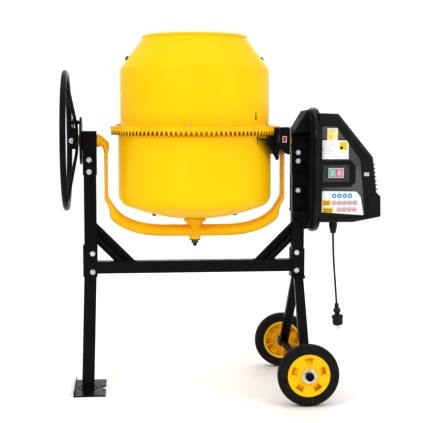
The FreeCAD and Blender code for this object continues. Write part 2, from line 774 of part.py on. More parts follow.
def housingBack():
    """Shell between the upright and the joint: pan, two cheeks along the upright, ribs and hoods."""
    t = shell
    panX = 462.0               # flat bottom of the pan
    narrow = 9.0               # how far the pan's wall stands in from the bead
    frontX, coreLow, coreTop = 404.0, 745.0, 1066.0
    pan = stadium(beadR - narrow, housingTopZ - narrow, housingBottomZ + narrow, panX, joinX)
    bead = stadium(beadR, housingTopZ, housingBottomZ, joinX - 17, joinX)
    wedgeTop = slabY([(frontX - 4, coreTop), (panX + 1, coreTop), (panX + 1, 1158), (456, 1158)], -70, 70)
    wedgeLow = slabY([(frontX, coreLow), (panX + 1, coreLow), (panX + 1, 672), (452, 668), (430, 700)], -60, 60)
    hollowTop = slabY([(410, 1064), (panX + 2, 1064), (panX + 2, 1152), (459, 1152)], -67, 67)
    hollowLow = slabY([(411, 747), (panX + 2, 747), (panX + 2, 680), (455, 677), (435, 704)], -57, 57)
    cheeks = [block(frontX, panX + 1, *sides, coreLow, coreTop) for sides in ((-32, -29), (29, 32))]
    ribs = []
    for z in (1050.0, 900.0, 806.0):
        for side in (-1, 1):
            corner = (panX + 1, side * 30)
            ribs.append(slabZ([(frontX + 4, side * 30), corner, (panX + 1, side * 112)], z, z + t))
    whole = pan.fuse([bead, wedgeTop, wedgeLow] + cheeks + ribs)
    inset = narrow + t
    cavity = stadium(beadR - inset, housingTopZ - inset, housingBottomZ + inset, panX + t, joinX + 1)
    lane = block(380, panX, -28.6, 28.6, 600, 1078)
    whole = whole.cut([cavity, hollowTop, hollowLow, lane, rodX(30, 380, 480)])
    return whole.cut(boltHoles()).removeSplitter()


def coverOutline(inset):
    i = inset
    return [(joinX - 1 if i else joinX, 1147 - i), (579 - i * 0.4, 1144 - i), (724 - i * 1.1, 967 - i * 0.3),
            (741 - i, 822), (frontEndX - i, 806), (frontEndX - i, 722 + i), (644, 701 + i),
            (joinX - 1 if i else joinX, 701 + i)]


def housingCover():
    """Outer cover: box-like shell with a round-ended flange and a recessed front panel."""
    t = shell
    body = slabY(coverOutline(0), -coverHalf, coverHalf)
    outside = [e for e in body.Edges if e.CenterOfMass.x > joinX + 1]
    longEdges = [e for e in outside if abs(abs(e.CenterOfMass.y) - coverHalf) < 0.1]
    body = body.makeChamfer(9.0, longEdges)
    flange = stadium(beadR, housingTopZ, housingBottomZ, joinX, joinX + 7)
    body = body.fuse(flange)
    panel = slabY([(joinX + 9, 1094), (571, 1094), (672, 957), (694, 728), (joinX + 9, 742)],
                  -coverHalf - 5, -coverHalf + panelDepth)
    body = body.cut(panel)
    surround = slabY([(joinX + 9, 953), (630, 953), (649, 932), (649, 868), (630, 848), (joinX + 9, 848)],
                     -coverHalf, -coverHalf + panelDepth + 1)
    body = body.fuse(surround)
    inside = slabY(coverOutline(t), -coverHalf + panelDepth + t, coverHalf - t)
    within = [e for e in inside.Edges if e.CenterOfMass.x > joinX + 1]
    wallEdges = [e for e in within if abs(e.CenterOfMass.y) > coverHalf - 12]
    wallEdges = [e for e in wallEdges if abs(e.Vertexes[0].Y - e.Vertexes[-1].Y) < 0.1]
    inside = inside.makeChamfer(7.5, wallEdges)
    body = body.cut([inside, rodZ(11.0, 690, 710, glandX, glandY)])
    slots = []
    for k in range(6):
        z = 940 - 20 * k
        slots.append(block(700, 760, -80, 80, z, z + 8))
    body = body.cut(slots)
    pocket = block(519, 613, -coverHalf - 1, -coverHalf + 12, 872, 931)
    return body.cut(pocket).removeSplitter()


def housingScrews():
    """Countersunk screws through the flange of the cover into the back shell."""
    made = []
    for y, z in ((0, 1164), (0, 662), (-127, 1000), (127, 1000), (-127, 830), (127, 830)):
        head = Part.makeCylinder(5.0, 2.5, Vector(joinX + 7, y, z), Vector(1, 0, 0))
        made.append(head)
    return made


def switchBox():
    y0, y1 = -coverHalf - 12, -coverHalf
    body = block(510, 622, y0, y1, 866, 937)
    frontEdges = [e for e in body.Edges if abs(e.CenterOfMass.y - y0) < 0.1]
    body = body.makeChamfer(3.0, frontEdges)
    well = block(520, 612, y1 - 1, y1 + 11, 873, 930)
    pockets = [block(539, 564.5, y0 - 1, y1 + 5, 889, 920), block(567.5, 593, y0 - 1, y1 + 5, 889, 920)]
    return body.fuse(well).cut(pockets).removeSplitter()


def switchBezel():
    y1 = -coverHalf - 12
    frame = block(534, 598, y1 - 3, y1, 884, 925)
    pockets = [block(538.5, 565, y1 - 4, y1 + 1, 888.5, 920.5), block(567, 593.5, y1 - 4, y1 + 1, 888.5, 920.5)]
    return frame.cut(pockets)


def pushButton(x0):
    y = -coverHalf - 17
    body = block(x0, x0 + 24.5, y, y + 16, 889.5, 919.5)
    return body.makeFillet(1.5, [e for e in body.Edges if abs(e.CenterOfMass.y - y) < 0.1])


# ---- mains lead ----
def cableGland():
    top = hexagon(30, (glandX, glandY, 676), (0, 0, 1), 24.9)
    nose = Part.makeCone(9.5, 15.0, 28, Vector(glandX, glandY, glandBottomZ))
    thread = rodZ(10.8, 695, 712, glandX, glandY)
    bore = rodZ(cordR, 640, 720, glandX, glandY)
    plugEnd = rodZ(cordR, glandBottomZ, 700, glandX, glandY)
    return top.fuse([nose, thread]).cut(bore).fuse(plugEnd).removeSplitter()


def cordPath(points):
    """Straight runs joined by tangent arcs as large as the runs allow; returns wire and length."""
    pts = [Vector(*p) for p in points]
    edges, at, length = [], pts[0], 0.0
    for i in range(1, len(pts) - 1):
        into, out = (pts[i] - pts[i - 1]), (pts[i + 1] - pts[i])
        turn = into.getAngle(out)
        reach = 0.45 * min(into.Length, out.Length)
        radius = reach / tan(turn / 2)
        a = pts[i] - into.normalize() * reach
        b = pts[i] + out.normalize() * reach
        toMiddle = ((a + b) * 0.5 - pts[i]).normalize()
        centre = pts[i] + toMiddle * sqrt(radius * radius + reach * reach)
        mid = centre - toMiddle * radius
        edges.append(Part.LineSegment(at, a).toShape())
        edges.append(Part.Arc(a, mid, b).toShape())
        length += (a - at).Length + radius * turn
        print("cord bend %d radius %.0f turn %.1f" % (i, radius, degrees(turn)))
        at = b
    edges.append(Part.LineSegment(at, pts[-1]).toShape())
    length += (pts[-1] - at).Length
    return Part.Wire(edges), length


def mainsCord():
    wire, length = cordPath(cordRoute)
    start, first = Vector(*cordRoute[0]), Vector(*cordRoute[1]) - Vector(*cordRoute[0])
    ring = Part.Wire([Part.Circle(start, first, cordR).toShape()])
    body = wire.makePipeShell([ring], True, False)
    expected = pi * cordR ** 2 * length
    print("cord length %.1f, section x length %.0f, volume %.0f" % (length, expected, body.Volume))
    return body


def mainsPlug():
    """Moulded plug hanging on the cord: sleeve, grip ball, body and two pins."""
    end, before = Vector(*cordRoute[-1]), Vector(*cordRoute[-2])
    along = (end - before).normalize()
    points = [(0.0, 0.0), (7.5, 0.0), (8.5, 22.0), (15.0, 25.0), (15.0, 38.0), (9.5, 44.0), (10.5, 50.0),
              (19.0, 54.0), (20.5, 58.0), (20.5, 92.0), (18.5, 94.0), (0.0, 94.0)]
    body = turnedZ(points)
    pins = [rodZ(2.4, 94.0, plugLength, x) for x in (-9.5, 9.5)]
    return [aimed(s, tuple(end), tuple(along)) for s in [body] + pins]


def buildAll():
    os.makedirs("parts", exist_ok=True)
    save("left_upright", upright(-1).cut(boltHoles()))
    save("right_upright", upright(1).cut(boltHoles()))
    save("crossbar", crossbar())
    save("left_brace", brace(-1))
    save("right_brace", brace(1))
    save("left_leg", leftLeg())
    save("foot_plate", footPlate())
    save("wheel_leg_socket", legSocket())
    save("front_wheel_leg", wheelLeg(-1))
    save("rear_wheel_leg", wheelLeg(1))
    save("wheel_axle", axleWithPinHoles())
    save("axle_washers", *axleWashers())
    save("split_pins", *splitPins())
    save("left_bearing_bracket", bearingBracket(-1))
    save("right_bearing_bracket", bearingBracket(1))
    save("trunnion_bushes", trunnionBush(-1), trunnionBush(1))
    save("locking_disc", lockingDisc())
    save("frame_bolts", *frameBolts())
    save("drum_bowl", drumBowl())
    save("drum_cone", drumCone())
    save("ring_gear", ringGear())
    save("ring_bolts", *ringBolts())
    save("mixing_paddles", mixingPaddle(-1), mixingPaddle(1))
    save("paddle_bolts", *paddleBolts())
    save("drum_hub", drumHub())
    save("drum_bearings", *drumBearings())
    save("bow_tube", bowTube())
    save("left_trunnion", trunnion(-1))
    save("right_trunnion", trunnion(1))
    save("drum_support", drumSupport())
    save("drum_pin", drumPin())
    save("drum_pin_nut", drumPinNut())
    save("pinion_guard_cover", guardCover())
    save("pinion_guard_plate", guardPlate())
    save("handwheel_rim", handwheelRim())
    save("handwheel_spokes", handwheelSpoke(-1), handwheelSpoke(1))
    save("handwheel_hub", handwheelHub())
    save("lock_pin", lockPin())
    save("hub_pivot_bolt", hubPivotBolt())
    for side, name in ((-1, "front"), (1, "rear")):
        save(name + "_tyre", tyre(side))
        save(name + "_wheel_disc", wheelDisc(side))
    save("pinion", pinion())
    save("drive_shaft", driveShaft())
    save("driven_pulley", ribbedPulley(pivotZ, drivenPulleyR, 24.0, shaftR, beltX0, beltX1))
    save("motor_pulley", ribbedPulley(motorZ, motorPulleyR, 12.0, 8.0, beltX0, beltX1))
    save("drive_belt", belt())
    save("motor_casing", motorCasing())
    save("motor_rotor", motorRotor())
    save("housing_back_shell", housingBack())
    save("housing_cover", housingCover())
    save("housing_screws", *housingScrews())
    save("switch_box", switchBox())
    save("switch_bezel", switchBezel())
    save("start_button", pushButton(539.5))
    save("stop_button", pushButton(568.0))
    save("cable_gland", cableGland())
    save("mains_cord", mainsCord())
    save("mains_plug", *mainsPlug())


buildAll()
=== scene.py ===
import bmesh
import bpy
from math import asin, atan2, ceil, cos, degrees, pi, radians, sin, sqrt, tan
from mathutils import Matrix, Vector


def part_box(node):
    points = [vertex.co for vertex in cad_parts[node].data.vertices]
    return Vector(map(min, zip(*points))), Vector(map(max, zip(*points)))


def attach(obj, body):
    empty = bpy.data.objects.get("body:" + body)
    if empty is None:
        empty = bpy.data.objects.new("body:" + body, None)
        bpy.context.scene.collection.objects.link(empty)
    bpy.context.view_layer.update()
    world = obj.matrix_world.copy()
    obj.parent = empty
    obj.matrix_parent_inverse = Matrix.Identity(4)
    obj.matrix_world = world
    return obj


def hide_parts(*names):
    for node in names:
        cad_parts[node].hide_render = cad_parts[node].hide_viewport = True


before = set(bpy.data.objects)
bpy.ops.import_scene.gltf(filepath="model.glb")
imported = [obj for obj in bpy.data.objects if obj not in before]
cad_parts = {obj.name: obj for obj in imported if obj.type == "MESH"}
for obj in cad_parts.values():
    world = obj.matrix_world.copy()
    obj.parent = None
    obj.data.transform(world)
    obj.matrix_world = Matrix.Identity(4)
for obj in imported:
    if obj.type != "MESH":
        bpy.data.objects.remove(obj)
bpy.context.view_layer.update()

# Pieces are drawn in millimetres from the drum's axis, and inPlace brings them to the part's frame.
coneLow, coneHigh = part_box("drum_cone")
drumX = (coneLow.x + coneHigh.x) / 2
mm = 0.001
inPlace = Matrix.Translation((drumX, 0, 0)) @ Matrix.Scale(mm, 4)
pivotLow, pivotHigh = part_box("right_trunnion")
pivotZ = (pivotLow.z + pivotHigh.z) / 2 / mm


def boxOf(node):
    low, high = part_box(node)
    back = inPlace.inverted()
    return back @ low, back @ high  # lowest and highest corner, in the drawing's millimetres


print("camera")
view = {"place": (-0.42146, -4.15689, 1.11005), "down": 5.07, "turn": 5.24, "lens": 85.67}
cameraData = bpy.data.cameras.new("studioCamera")
cameraData.lens = view["lens"]
cameraData.sensor_width = 36
camera = bpy.data.objects.new("studioCamera", cameraData)
camera.location = view["place"]
camera.rotation_euler = (radians(90 - view["down"]), 0, radians(-view["turn"]))
bpy.context.scene.collection.objects.link(camera)
bpy.context.scene.camera = camera


print("finishes")
# wear compares the rounded normal with the plain one: full up to start, none from stop, broken up in patches
wearEdges = {"samples": 4, "start": 0.80, "stop": 0.97, "patch": 6, "patchStart": 0.42, "patchStop": 0.6}


def makeFinish(name, look):
    # look: colour and shade mix in soft patches of a size in mm, rough is the range that the polish varies over,
    # grain is a list of (size, height) in mm, speck is (size, colour, share), wear is (colour, reach, amount)
    material = bpy.data.materials.new(name)
    material.use_nodes = True
    nodes, links = material.node_tree.nodes, material.node_tree.links
    shader = nodes["Principled BSDF"]
    place = nodes.new("ShaderNodeTexCoord").outputs["Object"]

    def noise(size, detail=3.0, roughness=0.55):
        made = nodes.new("ShaderNodeTexNoise")
        made.inputs["Scale"].default_value = 1 / (size * mm)
        made.inputs["Detail"].default_value = detail
        made.inputs["Roughness"].default_value = roughness
        links.new(place, made.inputs["Vector"])
        return made.outputs["Fac"]

    def spread(value, low, high, start=0.35, stop=0.65):
        made = nodes.new("ShaderNodeMapRange")
        made.inputs["From Min"].default_value = start
        made.inputs["From Max"].default_value = stop
        made.inputs["To Min"].default_value = low
        made.inputs["To Max"].default_value = high
        links.new(value, made.inputs["Value"])
        return made.outputs["Result"]

    def mixed(factor, first, second):
        made = nodes.new("ShaderNodeMix")
        made.data_type = "RGBA"
        links.new(factor, made.inputs["Factor"])
        for socket, colour in ((made.inputs["A"], first), (made.inputs["B"], second)):
            if isinstance(colour, tuple):
                socket.default_value = (*colour, 1)
            else:
                links.new(colour, socket)
        return made.outputs["Result"]

    colour = mixed(spread(noise(look.get("patch", 220), 2), 0, 1), look["colour"], look["shade"])
    if "speck" in look:  # fine dust and flecks
        size, tone, share = look["speck"]
        colour = mixed(spread(noise(size, 4, 0.7), 0, 1, 1 - share, 1 - share + 0.06), colour, tone)
    if "wear" in look:  # edges are found by rounding the normals and comparing
        tone, reach, amount = look["wear"]
        rounded = nodes.new("ShaderNodeBevel")
        rounded.samples = wearEdges["samples"]
        rounded.inputs["Radius"].default_value = reach * mm
        plain = nodes.new("ShaderNodeNewGeometry")
        match = nodes.new("ShaderNodeVectorMath")
        match.operation = "DOT_PRODUCT"
        links.new(rounded.outputs["Normal"], match.inputs[0])
        links.new(plain.outputs["Normal"], match.inputs[1])
        edge = spread(match.outputs["Value"], amount, 0, wearEdges["start"], wearEdges["stop"])
        broken = nodes.new("ShaderNodeMath")
        broken.operation = "MULTIPLY"
        links.new(edge, broken.inputs[0])
        patches = spread(noise(wearEdges["patch"], 4, 0.7), 0, 1, wearEdges["patchStart"], wearEdges["patchStop"])
        links.new(patches, broken.inputs[1])
        colour = mixed(broken.outputs["Value"], colour, tone)
    links.new(colour, shader.inputs["Base Color"])
    low, high = look["rough"]
    links.new(spread(noise(look.get("streak", 35), 5, 0.6), low, high), shader.inputs["Roughness"])
    shader.inputs["Metallic"].default_value = look.get("metal", 0)
    shader.inputs["Coat Weight"].default_value = look.get("coat", 0)
    shader.inputs["Coat Roughness"].default_value = 0.12
    shader.inputs["IOR"].default_value = look.get("ior", 1.5)
    normal = None
    for size, height in look["grain"]:
        bump = nodes.new("ShaderNodeBump")
        bump.inputs["Strength"].default_value = 1.0
        bump.inputs["Distance"].default_value = height * mm
        links.new(noise(size, 2), bump.inputs["Height"])
        if normal:
            links.new(normal, bump.inputs["Normal"])
        normal = bump.outputs["Normal"]
    links.new(normal, shader.inputs["Normal"])
    return material


finishLooks = {
    "yellowEnamel": {"colour": (0.93, 0.60, 0.0), "shade": (0.92, 0.57, 0.0), "rough": (0.3, 0.4),
                     "ior": 1.3, "grain": [(3.5, 0.012), (70, 0.25)], "patch": 300, "streak": 60,
                     "wear": ((0.75, 0.36, 0.002), 1.2, 0.5)},
    "yellowCasting": {"colour": (0.93, 0.56, 0.0), "shade": (0.90, 0.50, 0.0), "rough": (0.3, 0.45),
                      "ior": 1.34, "grain": [(1.6, 0.03), (18, 0.12)], "patch": 90,
                      "wear": ((0.62, 0.27, 0.002), 1.5, 0.6)},
    # painted shade: dark brown on the gear's tooth flanks and roots, darkening the gaps between the teeth
    "gearGrease": {"colour": (0.20, 0.075, 0.002), "shade": (0.34, 0.15, 0.002), "rough": (0.34, 0.5), "ior": 1.38,
                   "grain": [(1.2, 0.05)], "patch": 25},
    "blackPaint": {"colour": (0.003, 0.003, 0.0032), "shade": (0.005, 0.005, 0.0053), "rough": (0.26, 0.42),
                   "ior": 1.28, "grain": [(0.9, 0.012), (12, 0.05)], "speck": (2.5, (0.014, 0.014, 0.015), 0.34),
                   "wear": ((0.09, 0.09, 0.095), 1.2, 0.7)},
    "blackPlastic": {"colour": (0.005, 0.005, 0.0055), "shade": (0.009, 0.009, 0.0095), "rough": (0.22, 0.36),
                     "ior": 1.38, "grain": [(1.1, 0.03), (40, 0.25)], "patch": 120, "streak": 50,
                     "wear": ((0.06, 0.06, 0.062), 1.4, 0.5)},
    "shellPlastic": {"colour": (0.008, 0.008, 0.0085), "shade": (0.014, 0.014, 0.0145), "rough": (0.5, 0.64),
                     "ior": 1.18, "grain": [(1.1, 0.03), (40, 0.25)], "patch": 120, "streak": 50,
                     "wear": ((0.05, 0.05, 0.052), 1.4, 0.5)},
    # painted reflection: the black panel is lightened to grey in large soft patches, a sheen painted into its colour
    "panelPlastic": {"colour": (0.05, 0.05, 0.053), "shade": (0.12, 0.12, 0.125), "rough": (0.2, 0.32),
                     "grain": [(1.1, 0.02), (90, 0.6)], "patch": 160},
    "greyPlastic": {"colour": (0.035, 0.035, 0.037), "shade": (0.05, 0.05, 0.052), "rough": (0.4, 0.52),
                    "grain": [(1.0, 0.03)], "patch": 40},
    "palePlastic": {"colour": (0.62, 0.63, 0.62), "shade": (0.52, 0.53, 0.53), "rough": (0.3, 0.42),
                    "grain": [(0.9, 0.015)], "patch": 25},
    # the button's own green, lightened to pale mint by painted glare from a clear cover in front of it
    "greenPlastic": {"colour": (0.28, 0.58, 0.46), "shade": (0.22, 0.50, 0.38), "rough": (0.25, 0.38),
                     "grain": [(0.9, 0.012)], "patch": 15, "coat": 0.3},
    # the button's own red, lightened to pink by painted glare from a clear cover in front of it
    "redPlastic": {"colour": (0.80, 0.30, 0.36), "shade": (0.70, 0.22, 0.27), "rough": (0.25, 0.38),
                   "grain": [(0.9, 0.012)], "patch": 15, "coat": 0.3},
    "tyreRubber": {"colour": (0.011, 0.011, 0.0115), "shade": (0.017, 0.017, 0.0175), "rough": (0.5, 0.66), "ior": 1.3,
                   "grain": [(0.8, 0.04), (9, 0.12)], "patch": 60,
                   "speck": (3.0, (0.03, 0.03, 0.029), 0.36)},
    "cordRubber": {"colour": (0.007, 0.007, 0.007), "shade": (0.012, 0.012, 0.012), "rough": (0.45, 0.6),
                   "grain": [(0.7, 0.03)], "patch": 20},
    "wheelPlastic": {"colour": (0.94, 0.60, 0.0), "shade": (0.92, 0.54, 0.0), "rough": (0.3, 0.42),
                     "grain": [(1.2, 0.015), (22, 0.12)], "patch": 60, "ior": 1.34},
    "zincPlate": {"colour": (0.74, 0.75, 0.77), "shade": (0.52, 0.53, 0.56), "rough": (0.22, 0.42), "metal": 1,
                  "grain": [(1.4, 0.02)], "patch": 8, "streak": 7, "speck": (1.5, (0.3, 0.3, 0.31), 0.36)},
    "darkSteel": {"colour": (0.16, 0.16, 0.165), "shade": (0.09, 0.09, 0.095), "rough": (0.3, 0.5), "metal": 1,
                  "grain": [(1.0, 0.03)], "patch": 12, "streak": 9},
    "wornSteel": {"colour": (0.36, 0.35, 0.34), "shade": (0.24, 0.23, 0.22), "rough": (0.35, 0.55), "metal": 1,
                  "grain": [(1.2, 0.04), (15, 0.1)], "patch": 30, "speck": (4, (0.16, 0.11, 0.08), 0.36)},
    "bronzeBush": {"colour": (0.48, 0.28, 0.12), "shade": (0.36, 0.2, 0.08), "rough": (0.3, 0.46), "metal": 1,
                   "grain": [(1.0, 0.03)], "patch": 12},
    "castAluminium": {"colour": (0.56, 0.56, 0.57), "shade": (0.42, 0.42, 0.43), "rough": (0.4, 0.58), "metal": 1,
                      "grain": [(0.9, 0.06), (12, 0.1)], "patch": 30},
    "stickerFilm": {"colour": (0.86, 0.87, 0.88), "shade": (0.8, 0.81, 0.83), "rough": (0.28, 0.4),
                    "grain": [(1.5, 0.006), (30, 0.1)], "patch": 30},
    "creamFilm": {"colour": (0.82, 0.74, 0.42), "shade": (0.76, 0.68, 0.37), "rough": (0.3, 0.42),
                  "grain": [(1.5, 0.006)], "patch": 20},
    "blackInk": {"colour": (0.012, 0.011, 0.01), "shade": (0.022, 0.02, 0.018), "rough": (0.35, 0.5),
                 "grain": [(0.8, 0.005)], "patch": 8},
    "greyInk": {"colour": (0.28, 0.28, 0.31), "shade": (0.38, 0.38, 0.41), "rough": (0.35, 0.5),
                "grain": [(0.8, 0.004)], "patch": 8},
    "yellowInk": {"colour": (0.9, 0.58, 0.01), "shade": (0.83, 0.5, 0.01), "rough": (0.3, 0.42),
                  "grain": [(0.8, 0.004)], "patch": 8},
    "blueInk": {"colour": (0.01, 0.33, 0.68), "shade": (0.01, 0.27, 0.58), "rough": (0.3, 0.42),
                "grain": [(0.8, 0.004)], "patch": 8},
    "redInk": {"colour": (0.6, 0.02, 0.03), "shade": (0.5, 0.02, 0.02), "rough": (0.3, 0.42),
               "grain": [(0.8, 0.004)], "patch": 8},
}
finishes = {name: makeFinish(name, look) for name, look in finishLooks.items()}


def filleted(points, closed=True):
    # a third number on a point is the radius its corner is rounded to
    made = []
    count = len(points)
    for i, point in enumerate(points):
        here = Vector(point[:2])
        radius = point[2] if len(point) > 2 else 0
        if radius <= 0 or (not closed and i in (0, count - 1)):
            made.append(tuple(here))
            continue
        before = (Vector(points[i - 1][:2]) - here)
        after = (Vector(points[(i + 1) % count][:2]) - here)
        angle = before.angle(after)
        reach = min(radius / tan(angle / 2), before.length * 0.49, after.length * 0.49)
        start, end = here + before.normalized() * reach, here + after.normalized() * reach
        radius = reach * tan(angle / 2)
        middle = here + (before.normalized() + after.normalized()).normalized() * radius / sin(angle / 2)
        a0, a1 = atan2(*(start - middle).yx), atan2(*(end - middle).yx)
        turn = (a1 - a0 + pi) % (2 * pi) - pi
        steps = max(2, ceil(abs(turn) / radians(15)))
        for k in range(steps + 1):
            a = a0 + turn * k / steps
            made.append((middle.x + radius * cos(a), middle.y + radius * sin(a)))
    return made


def arcPoints(start, middle, end, steps):
    # points on the circle through three points
    a, b, c = Vector(start), Vector(middle), Vector(end)
    d = 2 * (a.x * (b.y - c.y) + b.x * (c.y - a.y) + c.x * (a.y - b.y))
    ux = (a.length_squared * (b.y - c.y) + b.length_squared * (c.y - a.y) + c.length_squared * (a.y - b.y)) / d
    uy = (a.length_squared * (c.x - b.x) + b.length_squared * (a.x - c.x) + c.length_squared * (b.x - a.x)) / d
    centre = Vector((ux, uy))
    a0, a1 = atan2(*(a - centre).yx), atan2(*(c - centre).yx)
    turn = (a1 - a0 + pi) % (2 * pi) - pi
    radius = (a - centre).length
    return [(ux + radius * cos(a0 + turn * k / steps), uy + radius * sin(a0 + turn * k / steps))
            for k in range(steps + 1)]


def stripBlock(rows):
    # four matching rows make a solid bar: top, outer, bottom and inner edge lines
    count = len(rows[0])
    points = [p for row in rows for p in row]
    faces = []
    for i in range(4):
        j = (i + 1) % 4
        for k in range(count - 1):
            faces.append((i * count + k, i * count + k + 1, j * count + k + 1, j * count + k))
    faces.append(tuple(i * count for i in range(4)))
    faces.append(tuple(i * count + count - 1 for i in range(4)))
    return points, faces


def meshObject(name, points, faces, finish):
    mesh = bpy.data.meshes.new(name)
    mesh.from_pydata([tuple(p) for p in points], [], faces)
    made = bpy.data.objects.new(name, mesh)
    bpy.context.scene.collection.objects.link(made)
    work = bmesh.new()
    work.from_mesh(mesh)
    bmesh.ops.remove_doubles(work, verts=work.verts, dist=0.001)
    bmesh.ops.recalc_face_normals(work, faces=work.faces)
    work.to_mesh(mesh)
    work.free()
    mesh.materials.append(finishes[finish])
    return made


def loftRings(rings, closedLoop=False, capEnds=True):
    # rings of equally many points become one skin
    count = len(rings[0])
    points = [p for ring in rings for p in ring]
    faces = []
    last = len(rings) if closedLoop else len(rings) - 1
    for i in range(last):
        j = (i + 1) % len(rings)
        for k in range(count):
            m = (k + 1) % count
            faces.append((i * count + k, i * count + m, j * count + m, j * count + k))
    if capEnds and not closedLoop:
        faces.append(tuple(range(count)))
        faces.append(tuple((len(rings) - 1) * count + k for k in range(count)))
    return points, faces


def turnedPiece(name, profile, finish, axis="z", centre=(0, 0, 0), steps=96):
    # profile is a closed line of (radius, height along the axis), and a third number rounds its corner
    if any(len(point) > 2 for point in profile):
        profile = filleted(profile)
    rings = []
    for k in range(steps):
        a = 2 * pi * k / steps
        ring = []
        for r, h in profile:
            u, v = max(r, 0) * cos(a), max(r, 0) * sin(a)
            spot = {"z": (u, v, h), "y": (u, h, v), "x": (h, u, v)}[axis]
            ring.append(Vector(spot) + Vector(centre))
        rings.append(ring)
    return meshObject(name, *loftRings(rings, closedLoop=True), finish)


def roundedBox(x0, x1, z0, z1, r=0.0):
    return filleted([(x0, z0, r), (x1, z0, r), (x1, z1, r), (x0, z1, r)])


def slabPiece(name, outline, low, high, finish, plane="xz", edge=0.0, edgeSteps=2):
    # a flat outline given thickness along the axis that its plane leaves out
    if any(len(point) > 2 for point in outline):
        outline = filleted(outline)

    def spot(u, v, h):
        return {"xz": (u, h, v), "yz": (h, u, v), "xy": (u, v, h)}[plane]

    points, faces = loftRings([[spot(u, v, low) for u, v in outline], [spot(u, v, high) for u, v in outline]])
    made = meshObject(name, points, faces, finish)
    if edge:
        roundEdges(made, edge, edgeSteps)
    return made


def roundEdges(piece, width, steps=2):
    bevel = piece.modifiers.new("edges", "BEVEL")
    bevel.width = width
    bevel.segments = steps
    bevel.limit_method = "ANGLE"
    bevel.angle_limit = radians(40)


def settle(piece, smooth=32, weighted=True):
    # modifiers become plain mesh, flats stay flat
    if weighted:
        flats = piece.modifiers.new("flats", "WEIGHTED_NORMAL")
        flats.keep_sharp = True
        flats.weight = 100
        piece.data.shade_smooth()
        if not [m for m in piece.modifiers if m.type == "BEVEL"]:
            piece.data.set_sharp_from_angle(angle=radians(smooth))
    bpy.context.view_layer.update()
    ready = piece.evaluated_get(bpy.context.evaluated_depsgraph_get())
    mesh = bpy.data.meshes.new_from_object(ready)
    mesh.name = piece.name
    piece.modifiers.clear()
    piece.data = mesh
    return piece


def place(piece, body, slot, *nodes, smooth=32):
    settle(piece, smooth)
    piece.data.transform(inPlace)
    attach(piece, body)
    if nodes:
        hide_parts(*nodes)
    return piece


def joined(name, pieces):
    # one object from several; the first keeps its finish slots
    for piece in pieces:
        settle(piece)
    work = bmesh.new()
    finishesUsed = []
    for piece in pieces:
        start = len(work.faces)
        work.from_mesh(piece.data)
        work.faces.ensure_lookup_table()
        own = list(piece.data.materials)
        for face in work.faces[start:]:
            used = own[face.material_index]
            if used not in finishesUsed:
                finishesUsed.append(used)
            face.material_index = finishesUsed.index(used)
    mesh = bpy.data.meshes.new(name)
    work.to_mesh(mesh)
    work.free()
    for used in finishesUsed:
        mesh.materials.append(used)
    for piece in pieces:
        bpy.data.objects.remove(piece)
    made = bpy.data.objects.new(name, mesh)
    bpy.context.scene.collection.objects.link(made)
    return made


def roundedCopy(name, node, finish, long=2.5, short=0.6, steps=3, longFrom=60):
    # the node's own shape with its corners rounded: long edges more than short ones
    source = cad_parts[node]
    mesh = source.data.copy()
    mesh.transform(inPlace.inverted())
    work = bmesh.new()
    work.from_mesh(mesh)
    bmesh.ops.remove_doubles(work, verts=work.verts, dist=0.01)
    bmesh.ops.dissolve_limit(work, angle_limit=radians(1.5), verts=work.verts, edges=work.edges)
    wide = [face for face in work.faces if len(face.verts) > 4]
    bmesh.ops.triangulate(work, faces=wide, ngon_method="EAR_CLIP")
    weights = work.edges.layers.float.new("bevel_weight_edge")
    widest = max(long, short)
    for edge in work.edges:
        if len(edge.link_faces) == 2 and edge.calc_face_angle(0) > radians(35):
            wanted = long if edge.calc_length() > longFrom else short
            edge[weights] = wanted / widest
    work.to_mesh(mesh)
    work.free()
    mesh.materials.clear()
    mesh.materials.append(finishes[finish])
    for polygon in mesh.polygons:
        polygon.material_index = 0
    made = bpy.data.objects.new(name, mesh)
    bpy.context.scene.collection.objects.link(made)
    bevel = made.modifiers.new("edges", "BEVEL")
    bevel.width = widest
    bevel.segments = steps
    bevel.limit_method = "WEIGHT"
    bevel.use_clamp_overlap = False
    return made


print("node trees for what repeats")


def newTree(name, sizes):
    # sizes: name and type of each input after the geometry
    tree = bpy.data.node_groups.new(name, "GeometryNodeTree")
    tree.interface.new_socket("Geometry", in_out="INPUT", socket_type="NodeSocketGeometry")
    for label, kind in sizes:
        tree.interface.new_socket(label, in_out="INPUT", socket_type="NodeSocket" + kind)
    tree.interface.new_socket("Finish", in_out="INPUT", socket_type="NodeSocketMaterial")
    tree.interface.new_socket("Geometry", in_out="OUTPUT", socket_type="NodeSocketGeometry")
    start, end = tree.nodes.new("NodeGroupInput"), tree.nodes.new("NodeGroupOutput")
    return tree, start, end


def endTree(tree, start, end, instances):
    real = tree.nodes.new("GeometryNodeRealizeInstances")
    paint = tree.nodes.new("GeometryNodeSetMaterial")
    tree.links.new(instances, real.inputs["Geometry"])
    tree.links.new(real.outputs["Geometry"], paint.inputs["Geometry"])
    tree.links.new(start.outputs["Finish"], paint.inputs["Material"])
    tree.links.new(paint.outputs["Geometry"], end.inputs["Geometry"])
    return tree


